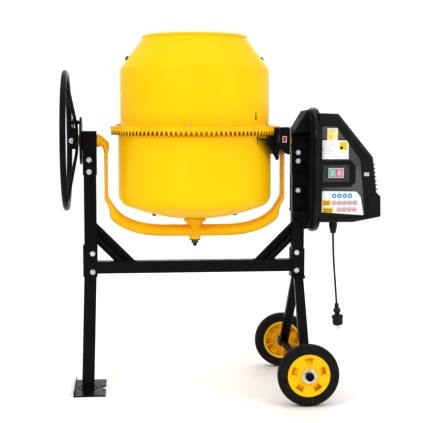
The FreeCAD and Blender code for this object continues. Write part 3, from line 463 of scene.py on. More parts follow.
def aroundTree():
    # copies of the piece turned about an axis through the origin
    tree, start, end = newTree("piecesAroundAxis", [("Count", "Int"), ("First Angle", "Float"),
                                                    ("Step Angle", "Float"), ("Axis", "Vector")])
    spots = tree.nodes.new("GeometryNodePoints")
    tree.links.new(start.outputs["Count"], spots.inputs["Count"])
    order = tree.nodes.new("GeometryNodeInputIndex")
    angle = tree.nodes.new("ShaderNodeMath")
    angle.operation = "MULTIPLY_ADD"
    tree.links.new(order.outputs["Index"], angle.inputs[0])
    tree.links.new(start.outputs["Step Angle"], angle.inputs[1])
    tree.links.new(start.outputs["First Angle"], angle.inputs[2])
    turn = tree.nodes.new("FunctionNodeAxisAngleToRotation")
    tree.links.new(start.outputs["Axis"], turn.inputs["Axis"])
    tree.links.new(angle.outputs["Value"], turn.inputs["Angle"])
    copies = tree.nodes.new("GeometryNodeInstanceOnPoints")
    tree.links.new(spots.outputs[0], copies.inputs["Points"])
    tree.links.new(start.outputs["Geometry"], copies.inputs["Instance"])
    tree.links.new(turn.outputs["Rotation"], copies.inputs["Rotation"])
    return endTree(tree, start, end, copies.outputs["Instances"])


def rowTree():
    # copies of the piece in a straight row
    tree, start, end = newTree("piecesInRow", [("Count", "Int"), ("Step", "Vector")])
    line = tree.nodes.new("GeometryNodeMeshLine")
    tree.links.new(start.outputs["Count"], line.inputs["Count"])
    tree.links.new(start.outputs["Step"], line.inputs["Offset"])
    copies = tree.nodes.new("GeometryNodeInstanceOnPoints")
    tree.links.new(line.outputs["Mesh"], copies.inputs["Points"])
    tree.links.new(start.outputs["Geometry"], copies.inputs["Instance"])
    return endTree(tree, start, end, copies.outputs["Instances"])


def spotTree():
    # copies of a fastener at the points of a mesh, turned as the points' "turn" says
    tree, start, end = newTree("fastenersAtSpots", [("Fastener", "Object"), ("Size", "Float")])
    shape = tree.nodes.new("GeometryNodeObjectInfo")
    tree.links.new(start.outputs["Fastener"], shape.inputs["Object"])
    turn = tree.nodes.new("GeometryNodeInputNamedAttribute")
    turn.data_type = "FLOAT_VECTOR"
    turn.inputs["Name"].default_value = "turn"
    rotation = tree.nodes.new("FunctionNodeEulerToRotation")
    tree.links.new(turn.outputs["Attribute"], rotation.inputs["Euler"])
    copies = tree.nodes.new("GeometryNodeInstanceOnPoints")
    tree.links.new(start.outputs["Geometry"], copies.inputs["Points"])
    tree.links.new(shape.outputs["Geometry"], copies.inputs["Instance"])
    tree.links.new(rotation.outputs["Rotation"], copies.inputs["Rotation"])
    tree.links.new(start.outputs["Size"], copies.inputs["Scale"])
    return endTree(tree, start, end, copies.outputs["Instances"])


trees = {"around": aroundTree(), "row": rowTree(), "spots": spotTree()}


def runTree(piece, kind, finish, **values):
    modifier = piece.modifiers.new(kind, "NODES")
    tree = trees[kind]
    modifier.node_group = tree
    values["Finish"] = finishes[finish]
    for item in tree.interface.items_tree:
        if item.item_type == "SOCKET" and item.in_out == "INPUT" and item.name in values:
            modifier[item.identifier] = values[item.name]
    return piece


def around(piece, count, first, step, axis, finish):
    settle(piece)
    runTree(piece, "around", finish, **{"Count": count, "First Angle": radians(first),
                                        "Step Angle": radians(step), "Axis": axis})
    return settle(piece, weighted=False)


def inRow(piece, count, step, finish):
    settle(piece)
    runTree(piece, "row", finish, Count=count, Step=step)
    return settle(piece, weighted=False)


def atSpots(name, shape, spots, finish, size=1.0):
    # spots: (point, direction the fastener's own +Z looks along, twist in degrees)
    mesh = bpy.data.meshes.new(name)
    mesh.from_pydata([s[0] for s in spots], [], [])
    turns = mesh.attributes.new("turn", "FLOAT_VECTOR", "POINT")
    for i, (point, way, twist) in enumerate(spots):
        turned = Vector(way).to_track_quat("Z", "Y").to_matrix() @ Matrix.Rotation(radians(twist), 3, "Z")
        turns.data[i].vector = turned.to_euler()
    mesh.materials.append(finishes[finish])
    made = bpy.data.objects.new(name, mesh)
    bpy.context.scene.collection.objects.link(made)
    runTree(made, "spots", finish, Fastener=shape, Size=size)
    return settle(made, weighted=False)


def hexPrism(across, low, high, chamfer):
    # hexagon with its corners turned off at the top, as rings of 24 points
    rings = []
    corner = across / sqrt(3)
    for h, limit in ((low, corner), (high - chamfer, corner), (high - chamfer * 0.4, corner - chamfer),
                     (high, across * 0.46)):
        ring = []
        for k in range(24):
            a = 2 * pi * k / 24
            inner = a % (pi / 3) - pi / 6
            r = min(across / 2 / cos(inner), limit)
            ring.append((r * cos(a), r * sin(a), h))
        rings.append(ring)
    return rings


fastener = {"chamfer": 0.9, "recess": 0.72, "recessFloor": 0.86, "recessDeep": 0.8, "pitch": 1.25, "threadDeep": 0.5}


def boltHead(name, size, finish):
    # washer, hexagon and a recessed crown; the seat is at the origin
    top, recess, floorShare = size["washer"] + size["head"], fastener["recess"], fastener["recessFloor"]
    rings = hexPrism(size["across"], size["washer"], top, fastener["chamfer"])
    rings.append([(x * recess, y * recess, top) for x, y, z in rings[-1]])
    rings.append([(x * floorShare, y * floorShare, z - fastener["recessDeep"]) for x, y, z in rings[-1]])
    head = meshObject(name + "Head", *loftRings(rings), finish)
    ring = turnedPiece(name + "Washer", [(size["hole"], 0), (size["washerR"], 0, 0.5),
                                         (size["washerR"], size["washer"], 0.6), (size["hole"], size["washer"])],
                       finish, steps=36)
    return joined(name, [head, ring])


def nutWithStub(name, size, finish):
    # washer, nut and the threaded end of the bolt; the seat is at the origin
    top = size["washer"] + size["head"]
    rings = hexPrism(size["across"], size["washer"], top, fastener["chamfer"])
    nut = meshObject(name + "Nut", *loftRings(rings), finish)
    thread = []
    turns = int(size["stub"] / fastener["pitch"])
    for k in range(turns * 2 + 1):
        r = size["hole"] - (0.0 if k % 2 else fastener["threadDeep"])
        thread.append((r, top - 1 + k * fastener["pitch"] / 2))
    tip = thread[-1][1] + 0.6
    profile = [(0, thread[0][1])] + thread + [(size["hole"] - 1, tip), (0, tip)]
    stub = turnedPiece(name + "Stub", profile, finish, steps=20)
    ring = turnedPiece(name + "Washer", [(0, 0), (size["washerR"], 0, 0.5), (size["washerR"], size["washer"], 0.6),
                                         (0, size["washer"])], finish, steps=36)
    return joined(name, [nut, stub, ring])


def sweptTube(name, route, radius, finish, sides=20, closedLoop=False):
    # round tube along a line of points; the corners are already rounded in the points
    points = [Vector(p) for p in route]
    rings = []
    count = len(points)
    side = None
    for i, p in enumerate(points):
        before = points[i - 1] if (i or closedLoop) else p
        after = points[(i + 1) % count] if (i < count - 1 or closedLoop) else p
        along = (after - before).normalized()
        if side is None:
            side = along.orthogonal().normalized()
        side = (side - along * side.dot(along)).normalized()
        up = along.cross(side)
        turns = [2 * pi * k / sides for k in range(sides)]
        rings.append([p + (side * cos(turn) + up * sin(turn)) * radius for turn in turns])
    return meshObject(name, *loftRings(rings, closedLoop=closedLoop), finish)


def roundedRoute(points, radius, steps=8):
    # three-dimensional route with its corners rounded
    made = [Vector(points[0])]
    for i in range(1, len(points) - 1):
        here = Vector(points[i])
        before, after = Vector(points[i - 1]) - here, Vector(points[i + 1]) - here
        reach = min(radius, before.length * 0.45, after.length * 0.45)
        a, b = here + before.normalized() * reach, here + after.normalized() * reach
        for k in range(steps + 1):
            t = k / steps
            made.append(a * (1 - t) ** 2 + here * 2 * t * (1 - t) + b * t * t)
    made.append(Vector(points[-1]))
    return made


print("mains lead")
lead = {"diameter": 0.008, "length": 0.297,
        "route": [(578, -30, 648), (579, -30, 590), (583, -31.5, 512), (590, -31, 430), (596, -30, 352)]}
leadPoints = [inPlace @ Vector(p) for p in lead["route"]]
leadCurve = bpy.data.curves.new("mainsLead", "CURVE")
leadCurve.dimensions = "3D"
spline = leadCurve.splines.new("NURBS")
spline.points.add(len(leadPoints) - 1)
for made, point in zip(spline.points, leadPoints):
    made.co = (*point, 1)
spline.order_u = 3
spline.use_endpoint_u = True
leadCurve.bevel_depth = lead["diameter"] / 2
leadCurve.bevel_resolution = 5
leadCurve.resolution_u = 24
leadCurve.use_fill_caps = True
leadCurve.materials.append(finishes["cordRubber"])
mainsLead = bpy.data.objects.new("mainsLead", leadCurve)
bpy.context.scene.collection.objects.link(mainsLead)
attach(mainsLead, "frame")
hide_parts("mains_cord")

plug = {"pinR": 2.4, "pinApart": 9.5, "pinFrom": 92, "pinTo": 114, "ribs": 16, "ribHalf": 1.1, "sleeveRings": 4,
        "ringStep": 4.1,
        "body": [(0, 0.5), (4.6, 0.5), (7.5, 2, 1), (8.4, 20, 2), (9, 22.5, 1), (15, 25, 3), (15, 38, 3),
                 (9.5, 43.5, 3), (10.5, 50, 2), (21, 52.5, 2), (24, 55.5, 2), (24, 64, 2), (20.5, 67.5, 1.5),
                 (20.5, 90, 2), (18.5, 94, 1), (0, 94)],
        "rib": [(19.6, 68), (21.4, 70, 0.8), (21.4, 87, 0.8), (19.6, 89)],
        "sleeve": [(7.2, 5), (8.9, 5.2, 0.7), (8.9, 7.6, 0.7), (7.2, 7.8)]}
plugEnd, plugBefore = Vector(lead["route"][-1]), Vector(lead["route"][-2])
plugAim = (plugEnd - plugBefore).normalized().to_track_quat("Z", "Y").to_matrix().to_4x4()
plugPlace = Matrix.Translation(plugEnd) @ plugAim
plugBody = turnedPiece("plugBody", plug["body"], "cordRubber", steps=64)
gripRib = slabPiece("gripRib", plug["rib"], -plug["ribHalf"], plug["ribHalf"], "cordRubber", edge=0.4)
around(gripRib, plug["ribs"], 0, 360 / plug["ribs"], (0, 0, 1), "cordRubber")
sleeveRing = turnedPiece("sleeveRing", plug["sleeve"], "cordRubber", steps=40)
inRow(sleeveRing, plug["sleeveRings"], (0, 0, plug["ringStep"]), "cordRubber")
plugGrip = joined("plugGrip", [plugBody, gripRib, sleeveRing])
plugPins = []
for side in (-1, 1):
    plugPins.append(turnedPiece("pin", [(0, plug["pinFrom"]), (plug["pinR"], plug["pinFrom"]),
                                        (plug["pinR"], plug["pinTo"], 1.4), (0, plug["pinTo"])], "zincPlate",
                                centre=(side * plug["pinApart"], 0, 0), steps=24))
plugPinPair = joined("plugPinPair", plugPins)
for piece in (plugGrip, plugPinPair):
    piece.data.transform(plugPlace)
place(plugGrip, "frame", "plug_rubber", "mains_plug")
place(plugPinPair, "frame", "zinc", "mains_plug")

gland = {"x": 578, "y": -30, "low": 648, "top": 678, "bore": 4.05, "nutAcross": 30, "nutLow": 677, "nutHigh": 698,
         "rings": 3, "ringStep": 5.8}
glandSpot = (gland["x"], gland["y"], 0)
reliefCone = turnedPiece("reliefCone", [(gland["bore"], gland["low"]), (10.5, gland["low"], 2.5), (13.0, 660, 4),
                                        (15.6, 672, 1), (15.6, gland["top"]), (gland["bore"], gland["top"])],
                         "blackPlastic", centre=glandSpot, steps=48)
nutRings = hexPrism(gland["nutAcross"], gland["nutLow"], gland["nutHigh"], 1.2)
nutBody = meshObject("glandNut", *loftRings([[(x + gland["x"], y + gland["y"], z) for x, y, z in ring]
                                             for ring in nutRings]), "blackPlastic")
glandRings = turnedPiece("glandRing", [(10.2, 651), (12.4, 651.4, 0.8), (13.0, 654, 0.8), (10.8, 654.4)],
                         "blackPlastic", centre=glandSpot, steps=40)
inRow(glandRings, gland["rings"], (0, 0, gland["ringStep"]), "blackPlastic")
neck = turnedPiece("glandNeck", [(0, 696), (13.5, 696), (13.5, 702.5, 0.8), (0, 702.5)], "blackPlastic",
                   centre=glandSpot, steps=40)
cableGland = joined("cableGland", [reliefCone, nutBody, glandRings, neck])
place(cableGland, "frame", "black_plastic", "cable_gland")


print("drum")
drum = {"upperR": 305, "lowerR": 314, "mouthR": 209.5, "rimZ": 1454.5, "rollR": 6, "sheet": 2,
        "coneR": 296, "coneZ": 1338, "flangeZ": 1095, "gearT": 12, "dishR": 759, "bottomZ": 714,
        "seamR": 291, "wallZ": 812, "steps": 192, "flangeR": 331, "lipR": 326, "pinHole": 36.2, "grooveTop": 1066}
coneRise = Vector((drum["mouthR"] - drum["coneR"], drum["rimZ"] - drum["coneZ"])).normalized()
coneOut = Vector((coneRise.y, -coneRise.x))


def dishZ(radius, inset=0.0):
    r = drum["dishR"] - inset
    return drum["bottomZ"] + drum["dishR"] - sqrt(r * r - radius * radius)


def coneProfile():
    t, rim = drum["sheet"], Vector((drum["mouthR"], drum["rimZ"]))
    wallTop = drum["coneZ"] - (drum["upperR"] - drum["coneR"]) * coneRise.y / -coneRise.x
    flange, upper = drum["flangeZ"], drum["upperR"]
    outer = [(upper - t, flange), (drum["flangeR"], flange, 1), (drum["flangeR"], flange + t, 1),
             (upper, flange + t, 5), (upper, 1200), (upper, wallTop, 34), tuple(rim - coneRise * drum["rollR"])]
    start = atan2(*(-coneRise).yx)
    roll = [tuple(rim + Vector((cos(start + radians(a)), sin(start + radians(a)))) * drum["rollR"])
            for a in range(15, 330, 15)]
    under = rim - coneOut * t - coneRise * sqrt(drum["rollR"] ** 2 - t * t)
    inner = [tuple(under), (upper - t, wallTop - 1.5, 31), (upper - t, 1200)]
    return filleted(outer, closed=False) + roll + filleted([roll[-1]] + inner, closed=False)[1:]


place(turnedPiece("drumCone", coneProfile(), "yellowEnamel", steps=drum["steps"]), "drum", "yellow_paint",
      "drum_cone", smooth=40)


def bowlProfile():
    t, hole, lip = drum["sheet"], drum["pinHole"], drum["flangeZ"] - drum["gearT"]
    seam = (drum["seamR"], dishZ(drum["seamR"]))
    radii = [hole + (drum["seamR"] - hole) * k / 24 for k in range(24)]
    outer = [(r, dishZ(r)) for r in radii]
    outer += arcPoints(seam, (306.5, 789.5), (drum["lowerR"], drum["wallZ"]), 10)
    outer += filleted([(drum["lowerR"], drum["wallZ"]), (drum["lowerR"], 950), (drum["lowerR"], 1056, 6),
                       (306, drum["grooveTop"], 6), (306, lip - t, 3), (drum["lipR"], lip - t, 1),
                       (drum["lipR"], lip, 1), (303, lip, 3), (303, drum["grooveTop"] - 1, 6),
                       (drum["lowerR"] - t, 1055, 6), (drum["lowerR"] - t, 950),
                       (drum["lowerR"] - t, drum["wallZ"])], closed=False)[1:]
    innerSeam = (drum["seamR"] - 2.2, dishZ(drum["seamR"] - 2.2, t))
    outer += arcPoints((drum["lowerR"] - t, drum["wallZ"]), (304, 791), innerSeam, 10)[1:]
    outer += [(r, dishZ(r, t)) for r in reversed(radii)]
    return outer


place(turnedPiece("drumBowl", bowlProfile(), "yellowEnamel", steps=drum["steps"]), "drum", "yellow_paint",
      "drum_bowl", smooth=40)

gear = {"teeth": 112, "rootZ": 1074, "pitchZ": 1065, "tipZ": 1059, "in": 326, "out": 345, "hole": 303.2,
        "underZ": 1083.1, "topZ": 1094.8}
gearBand = turnedPiece("gearBand", [(gear["hole"], gear["underZ"]), (gear["in"] + 0.5, gear["underZ"]),
                                    (gear["in"] + 0.5, gear["rootZ"], 1), (gear["out"], gear["rootZ"], 1.5),
                                    (gear["out"], gear["topZ"], 4), (gear["hole"], gear["topZ"])], "yellowCasting",
                       steps=224)
toothSides = filleted([(-6.9, 1076), (-6.4, gear["rootZ"] - 0.2), (-3.9, gear["pitchZ"]), (-1.9, gear["tipZ"], 0.8),
                       (1.9, gear["tipZ"], 0.8), (3.9, gear["pitchZ"]), (6.4, gear["rootZ"] - 0.2), (6.9, 1076)])
gearTooth = slabPiece("gearTooth", toothSides, gear["in"] + 2.5, gear["out"] - 1.2, "yellowCasting", plane="yz")
around(gearTooth, gear["teeth"], 180 / gear["teeth"], 360 / gear["teeth"], (0, 0, 1), "yellowCasting")
# painted shade in dark brown on both flanks of each tooth and along the root, darkening the gaps between the teeth
gapShadeIn, gapShadeOut, gapShadeZ = gear["in"] + 2.6, gear["out"] - 1.6, gear["rootZ"]
gapShadeParts = [turnedPiece("rootGrease", [(gapShadeIn, gapShadeZ - 0.4), (gapShadeOut, gapShadeZ - 0.4),
                                          (gapShadeOut, gapShadeZ + 0.1), (gapShadeIn, gapShadeZ + 0.1)], "gearGrease",
                           steps=224)]
for side in (-1, 1):
    flank = [(side * 6.7, 1074), (side * 4.2, 1065), (side * 2.3, 1059.8), (side * 1.8, 1060.2), (side * 3.7, 1065),
             (side * 6.2, 1074)]
    streak = slabPiece("flankGrease", flank, gapShadeIn, gapShadeOut, "gearGrease", plane="yz")
    around(streak, gear["teeth"], 180 / gear["teeth"], 360 / gear["teeth"], (0, 0, 1), "gearGrease")
    gapShadeParts.append(streak)
ringGear = joined("ringGear", [gearBand, gearTooth] + gapShadeParts)
place(ringGear, "drum", "yellow_cast", "ring_gear")

smallBolt = {"across": 13, "head": 6, "washer": 1.4, "washerR": 9.5, "hole": 4, "stub": 4}
bigBolt = {"across": 17, "head": 7, "washer": 1.6, "washerR": 12, "hole": 5, "stub": 6}
helpers = {"smallHead": boltHead("smallHead", smallBolt, "zincPlate"),
           "smallNut": nutWithStub("smallNut", smallBolt, "zincPlate"),
           "bigHead": boltHead("bigHead", bigBolt, "zincPlate"),
           "bigNut": nutWithStub("bigNut", bigBolt, "zincPlate")}
ringBolts = {"count": 5, "first": -98, "step": 72, "radius": 317, "nutDrop": 15, "headTwist": 17, "nutTwist": 23}
ringSpots = []
for k in range(ringBolts["count"]):
    a = radians(ringBolts["first"] + ringBolts["step"] * k)
    ringSpots.append((ringBolts["radius"] * cos(a), ringBolts["radius"] * sin(a)))
headZ, nutZ = drum["flangeZ"] + drum["sheet"], drum["flangeZ"] - ringBolts["nutDrop"]
ringHeads = atSpots("ringHeads", helpers["smallHead"], [((x, y, headZ), (0, 0, 1), ringBolts["headTwist"] * i)
                                                        for i, (x, y) in enumerate(ringSpots)], "zincPlate")
ringNuts = atSpots("ringNuts", helpers["smallNut"], [((x, y, nutZ), (0, 0, -1), ringBolts["nutTwist"] * i)
                                                     for i, (x, y) in enumerate(ringSpots)], "zincPlate")
place(joined("ringBolts", [ringHeads, ringNuts]), "drum", "zinc", "ring_bolts")

paddleBolts = {"coneZ": 1368, "dishR": 167, "headOut": 0.4, "nutIn": 9.5, "coneTwist": (11, 5), "dishTwist": (14, 3)}
coneSpot = Vector((drum["coneR"], drum["coneZ"])) + coneRise * ((paddleBolts["coneZ"] - drum["coneZ"]) / coneRise.y)
lean = paddleBolts["dishR"] / drum["dishR"]
dishSpot = Vector((paddleBolts["dishR"], dishZ(paddleBolts["dishR"])))
paddleSpots, paddleInside = [], []
paddlePairs = [(coneSpot, Vector((coneRise.y, -coneRise.x)), paddleBolts["coneTwist"]),
               (dishSpot, Vector((lean, -sqrt(1 - lean * lean))), paddleBolts["dishTwist"])]
for side in (-1, 1):
    for spot, out, (headTwist, nutTwist) in paddlePairs:
        spot, out = Vector((side * spot.x, 0, spot.y)), Vector((side * out.x, 0, out.y))
        paddleSpots.append((spot + out * paddleBolts["headOut"], out, headTwist))
        paddleInside.append((spot - out * paddleBolts["nutIn"], -out, nutTwist))
paddleHeads = atSpots("paddleHeads", helpers["bigHead"], paddleSpots, "darkSteel", 0.94)
paddleNuts = atSpots("paddleNuts", helpers["smallNut"], paddleInside, "darkSteel", 1.1)
place(joined("paddleBolts", [paddleHeads, paddleNuts]), "drum", "dark_steel", "paddle_bolts")
place(roundedCopy("mixingPaddles", "mixing_paddles", "wornSteel", long=1.2, short=0.6, longFrom=20), "drum",
      "paddle_steel", "mixing_paddles")
place(turnedPiece("drumHub", [(24.1, 714.6), (36, 714.6, 1), (36, 720.4), (62, 720.4, 1.5), (62, 727, 2),
                              (36, 730, 5), (36, 798, 4), (0, 798), (0, 790), (24.1, 790)], "castAluminium",
                  steps=72), "drum", "cast_hub", "drum_hub")

# arrows that show how the two halves line up: plain marks on the drum's skin
arrow = {"angle": -42, "long": 38, "wide": 6.5, "head": 13, "headWide": 15, "taper": 0.35, "skin": (0.08, 0.35),
         "upperTail": 1154, "lowerTail": 1020}


def arrowMark(name, radius, tailZ, way):
    long, head = arrow["long"], arrow["head"]
    half, headHalf = arrow["wide"] / 2, arrow["headWide"] / 2
    shape = [(-half * arrow["taper"], 0), (half * arrow["taper"], 0), (half, long - head), (headHalf, long - head),
             (0, long), (-headHalf, long - head), (-half, long - head)]
    a0 = radians(arrow["angle"])
    skins = []
    for lift in arrow["skin"]:
        r = radius + lift
        skins.append([(r * cos(a0 + u / r), r * sin(a0 + u / r), tailZ + way * v) for u, v in shape])
    return meshObject(name, *loftRings(skins), "blackInk")


place(joined("alignmentArrows", [arrowMark("upperArrow", drum["upperR"], arrow["upperTail"], -1),
                                 arrowMark("lowerArrow", drum["lowerR"], arrow["lowerTail"], 1)]), "drum",
      "yellow_paint")


print("bow and trunnions")
# each row: inner edge x, z, outer edge x, z, half width, squareness of the section
bowRows = [(0, 687, 0, 639, 24, 2), (90, 687.3, 90, 639.3, 24, 2), (149, 688, 151, 640, 24, 2),
           (208.5, 695, 215.5, 647, 24, 2), (254.5, 708, 269.5, 662, 24, 2), (291, 726, 313, 683.5, 24.5, 2),
           (310, 741, 339, 704, 26, 2.2), (321, 752, 350, 722, 28, 2.6), (330, 763, 352, 744, 29.5, 3),
           (343, 783, 360, 770, 31, 3.4), (355, 803, 371, 791, 32, 3.6), (358, 822, 372, 814, 32, 3.8),
           (358, 900, 372, 900, 32, 3.8), (358, 968, 372, 968, 32, 3.8), (357.5, 984, 372.5, 982, 31, 3.4),
           (353.5, 996, 374, 991, 27, 2.8), (353, 1010, 376, 1000, 24.5, 2.6), (354, 1026, 379, 1008, 23.4, 2.4),
           (368, 1041, 382, 1012, 23, 2.2), (384, 1057.2, 385, 1012.8, 22.6, 2),
           (387.6, 1057.4, 387.6, 1012.6, 22.5, 2)]


def smoothRows(rows, steps):
    made = []
    for i in range(len(rows) - 1):
        a, b = rows[i], rows[i + 1]
        before, after = rows[max(i - 1, 0)], rows[min(i + 2, len(rows) - 1)]
        for k in range(steps):
            t = k / steps
            made.append([0.5 * (2 * q + (r - p) * t + (2 * p - 5 * q + 4 * r - s) * t * t
                                + (3 * q - p - 3 * r + s) * t ** 3)
                         for p, q, r, s in zip(before, a, b, after)])
    made.append(list(rows[-1]))
    return made


def bowRing(side, row, sides=40):
    ax, az, bx, bz, half, square = row
    middle = Vector(((ax + bx) / 2, (az + bz) / 2))
    reach = Vector((bx - ax, bz - az)) / 2
    ring = []
    for k in range(sides):
        a = 2 * pi * k / sides
        c, s = cos(a), sin(a)
        u = abs(c) ** (2 / square) * (1 if c >= 0 else -1)
        v = abs(s) ** (2 / square) * (1 if s >= 0 else -1)
        ring.append((side * (middle.x + reach.x * u), half * v, middle.y + reach.y * u))
    return ring


leftHalf = [bowRing(-1, row) for row in reversed(smoothRows(bowRows, 5))]
rightHalf = [bowRing(1, row) for row in smoothRows(bowRows, 5)]
bowTube = meshObject("bowTube", *loftRings(leftHalf[:-1] + rightHalf), "yellowCasting")
place(bowTube, "bow", "yellow_paint", "bow_tube", smooth=50)

trunnion = {"r": 22, "collarR": 27, "collarIn": 391, "collarOut": 401, "bore": 10.05, "rightEnd": 470}
collarR, collarIn, collarOut = trunnion["collarR"], trunnion["collarIn"], trunnion["collarOut"]
left = turnedPiece("leftTrunnion", [(0, -506), (trunnion["r"], -506, 1.5), (trunnion["r"], -collarOut),
                                    (collarR, -collarOut, 1), (collarR, -collarIn, 1), (22.6, -collarIn),
                                    (22.6, -386, 0.5), (0, -386)], "yellowCasting", axis="x", centre=(0, 0, pivotZ),
                   steps=72)
place(left, "bow", "yellow_paint", "left_trunnion")
right = turnedPiece("rightTrunnion", [(trunnion["bore"], 351.5), (21.8, 351.5), (22, 386), (22, collarIn),
                                      (collarR, collarIn, 1), (collarR, collarOut, 1), (22, collarOut),
                                      (22, trunnion["rightEnd"], 1.5), (trunnion["bore"], trunnion["rightEnd"])],
                    "yellowCasting", axis="x", centre=(0, 0, pivotZ), steps=72)
place(right, "bow", "yellow_paint", "right_trunnion")

support = turnedPiece("drumSupport", [(15.05, 626), (22.5, 626, 2), (23.5, 640, 4), (26, 646, 6), (26, 684, 4),
                                      (34, 692, 6), (36, 701, 3), (46, 701, 1.5), (46, 713, 1.5), (15.05, 713)],
                      "yellowCasting", steps=72)
place(support, "bow", "yellow_cast", "drum_support")
# the nut's chamfered end looks down, so its rings are mirrored between its two ends
pinNutAt = {"across": 24, "low": 609, "high": 622.5}
mirrorZ = pinNutAt["low"] + pinNutAt["high"]
nutRings = [[(x, y, mirrorZ - z) for x, y, z in ring]
            for ring in hexPrism(pinNutAt["across"], pinNutAt["low"], pinNutAt["high"], 1.2)]
pinNut = meshObject("pinNutBody", *loftRings(nutRings[::-1]), "darkSteel")
pinWasher = turnedPiece("pinWasher", [(8, 622.5), (22, 622.5, 0.8), (22, 625.9, 0.8), (8, 625.9)], "darkSteel",
                        steps=48)
place(joined("drumPinNut", [pinNut, pinWasher]), "bow", "dark_steel", "drum_pin_nut")
pinThread = {"start": 599, "pitch": 1.5, "turns": 15, "crest": 7.9, "root": 7.1}
threadProfile = [(0, 598), (6.5, 598)]
for k in range(pinThread["turns"]):
    z = pinThread["start"] + k * pinThread["pitch"]
    threadProfile += [(pinThread["crest"], z), (pinThread["root"], z + pinThread["pitch"] / 2)]
threadProfile += [(7.9, 621.5), (8, 626), (15, 626.1), (15, 782), (14, 784), (0, 784)]
place(turnedPiece("drumPin", threadProfile, "darkSteel", steps=48), "bow", "dark_steel", "drum_pin")


print("pinion guard")
guard = {"r": 350, "sheet": 2.4, "wide": 41, "upper": 27.5, "low": 975, "shelf": 1046, "top": 1088, "shelfIn": 319,
         "shelfT": 6, "gap": 44, "coveX": 243, "coveZ": 962, "coveR": 63, "edge": 0.8}


def guardEdge(angle):
    # the arched lower edge: a round cut across the sheet from front to back
    off = guard["r"] * cos(angle) - guard["coveX"]
    if off >= guard["coveR"]:
        return guard["low"]
    return max(guard["low"], guard["coveZ"] + sqrt(guard["coveR"] ** 2 - off * off))


def guardSheet(name, half, lowEdge, top, steps):
    rows = []
    for r, high in ((guard["r"], False), (guard["r"], True), (guard["r"] - guard["sheet"], True),
                    (guard["r"] - guard["sheet"], False)):
        row = []
        for k in range(steps + 1):
            a = radians(half) * (2 * k / steps - 1)
            row.append((r * cos(a), r * sin(a), top if high else lowEdge(a)))
        rows.append(row)
    return meshObject(name, *stripBlock(rows), "blackPlastic")


def guardShelf(name, start, end, steps):
    rows = []
    for r, z in ((guard["r"] - 1, guard["shelf"] - guard["shelfT"]), (guard["r"] - 1, guard["shelf"]),
                 (guard["shelfIn"], guard["shelf"]), (guard["shelfIn"], guard["shelf"] - guard["shelfT"])):
        rows.append([(r * cos(start + (end - start) * k / steps), r * sin(start + (end - start) * k / steps), z)
                     for k in range(steps + 1)])
    return meshObject(name, *stripBlock(rows), "blackPlastic")


shelfStart = asin(guard["gap"] / guard["shelfIn"])
coverParts = [guardSheet("lowerSheet", guard["wide"], guardEdge, guard["shelf"], 96),
              guardSheet("upperSheet", guard["upper"], lambda a: guard["shelf"] - 2, guard["top"], 48),
              guardShelf("shelfBack", shelfStart, radians(guard["wide"]), 32),
              guardShelf("shelfFront", -radians(guard["wide"]), -shelfStart, 32)]
for piece in coverParts:
    roundEdges(piece, guard["edge"])
place(joined("pinionGuardCover", coverParts), "bow", "black_plastic", "pinion_guard_cover")
cheeks = roundedCopy("guardCheeks", "pinion_guard_plate", "blackPaint", long=2.0, short=0.7, longFrom=20)
cheekLip = {"y": 57.6, "r": 1.7, "bend": 6, "route": [(344.5, 1029), (344.5, 1087), (349, 1090.5), (384, 1090.5),
                                                      (389.5, 1084), (389.5, 984)]}
lips = []
for side in (-1, 1):
    route = roundedRoute([(x, side * cheekLip["y"], z) for x, z in cheekLip["route"]], cheekLip["bend"])
    lips.append(sweptTube("cheekLip", route, cheekLip["r"], "zincPlate", sides=12))
place(joined("pinionGuardPlate", [cheeks] + lips), "bow", "black_plastic", "pinion_guard_plate")
# a plain small label with rounded corners on the front cheek
label = {"rim": (-58.35, -57.9), "core": (-58.5, -58.3)}
labelRim = slabPiece("stickerRim", roundedBox(357, 375, 1027, 1053, 3), *label["rim"], "stickerFilm")
labelCore = slabPiece("stickerCore", roundedBox(359.5, 372.5, 1029.5, 1050.5, 2), *label["core"], "redInk")
place(joined("guardSticker", [labelRim, labelCore]), "bow", "black_plastic")
hang = {"x": 325, "y": -119, "z": 974}  # the loose tab and bolt under the guard's front corner
hangTab = slabPiece("hangTab", [(-13, -8, 4), (13, -8, 4), (13, 12), (-13, 12)], -2, 2, "blackPaint", edge=0.8)
hangHead = meshObject("hangHead", *loftRings(hexPrism(17, -9, 0, 1)), "blackPaint")
hangStub = turnedPiece("hangStub", [(0, -16), (6, -16, 1.5), (6, -8), (0, -8)], "blackPaint", steps=24)
guardBolt = joined("guardBolt", [hangTab, hangHead, hangStub])
hangTurn = Matrix.Rotation(atan2(hang["y"], hang["x"]) + pi / 2, 4, "Z")
guardBolt.data.transform(Matrix.Translation((hang["x"], hang["y"], hang["z"])) @ hangTurn)
place(guardBolt, "bow", "black_plastic")


print("frame")
tubeEdges = {"long": 3.2, "short": 0.7}
for name, node in (("leftUpright", "left_upright"), ("rightUpright", "right_upright"), ("crossbarTube", "crossbar"),
                   ("leftLeg", "left_leg"), ("frontWheelLeg", "front_wheel_leg"), ("rearWheelLeg", "rear_wheel_leg"),
                   ("leftBracket", "left_bearing_bracket"), ("rightBracket", "right_bearing_bracket"),
                   ("wheelLegSocket", "wheel_leg_socket")):
    place(roundedCopy(name, node, "blackPaint", **tubeEdges), "frame", "black_paint", node)
for name, node in (("leftBrace", "left_brace"), ("rightBrace", "right_brace")):
    place(roundedCopy(name, node, "blackPaint", long=1.0, short=0.5, longFrom=30), "frame", "black_paint", node)

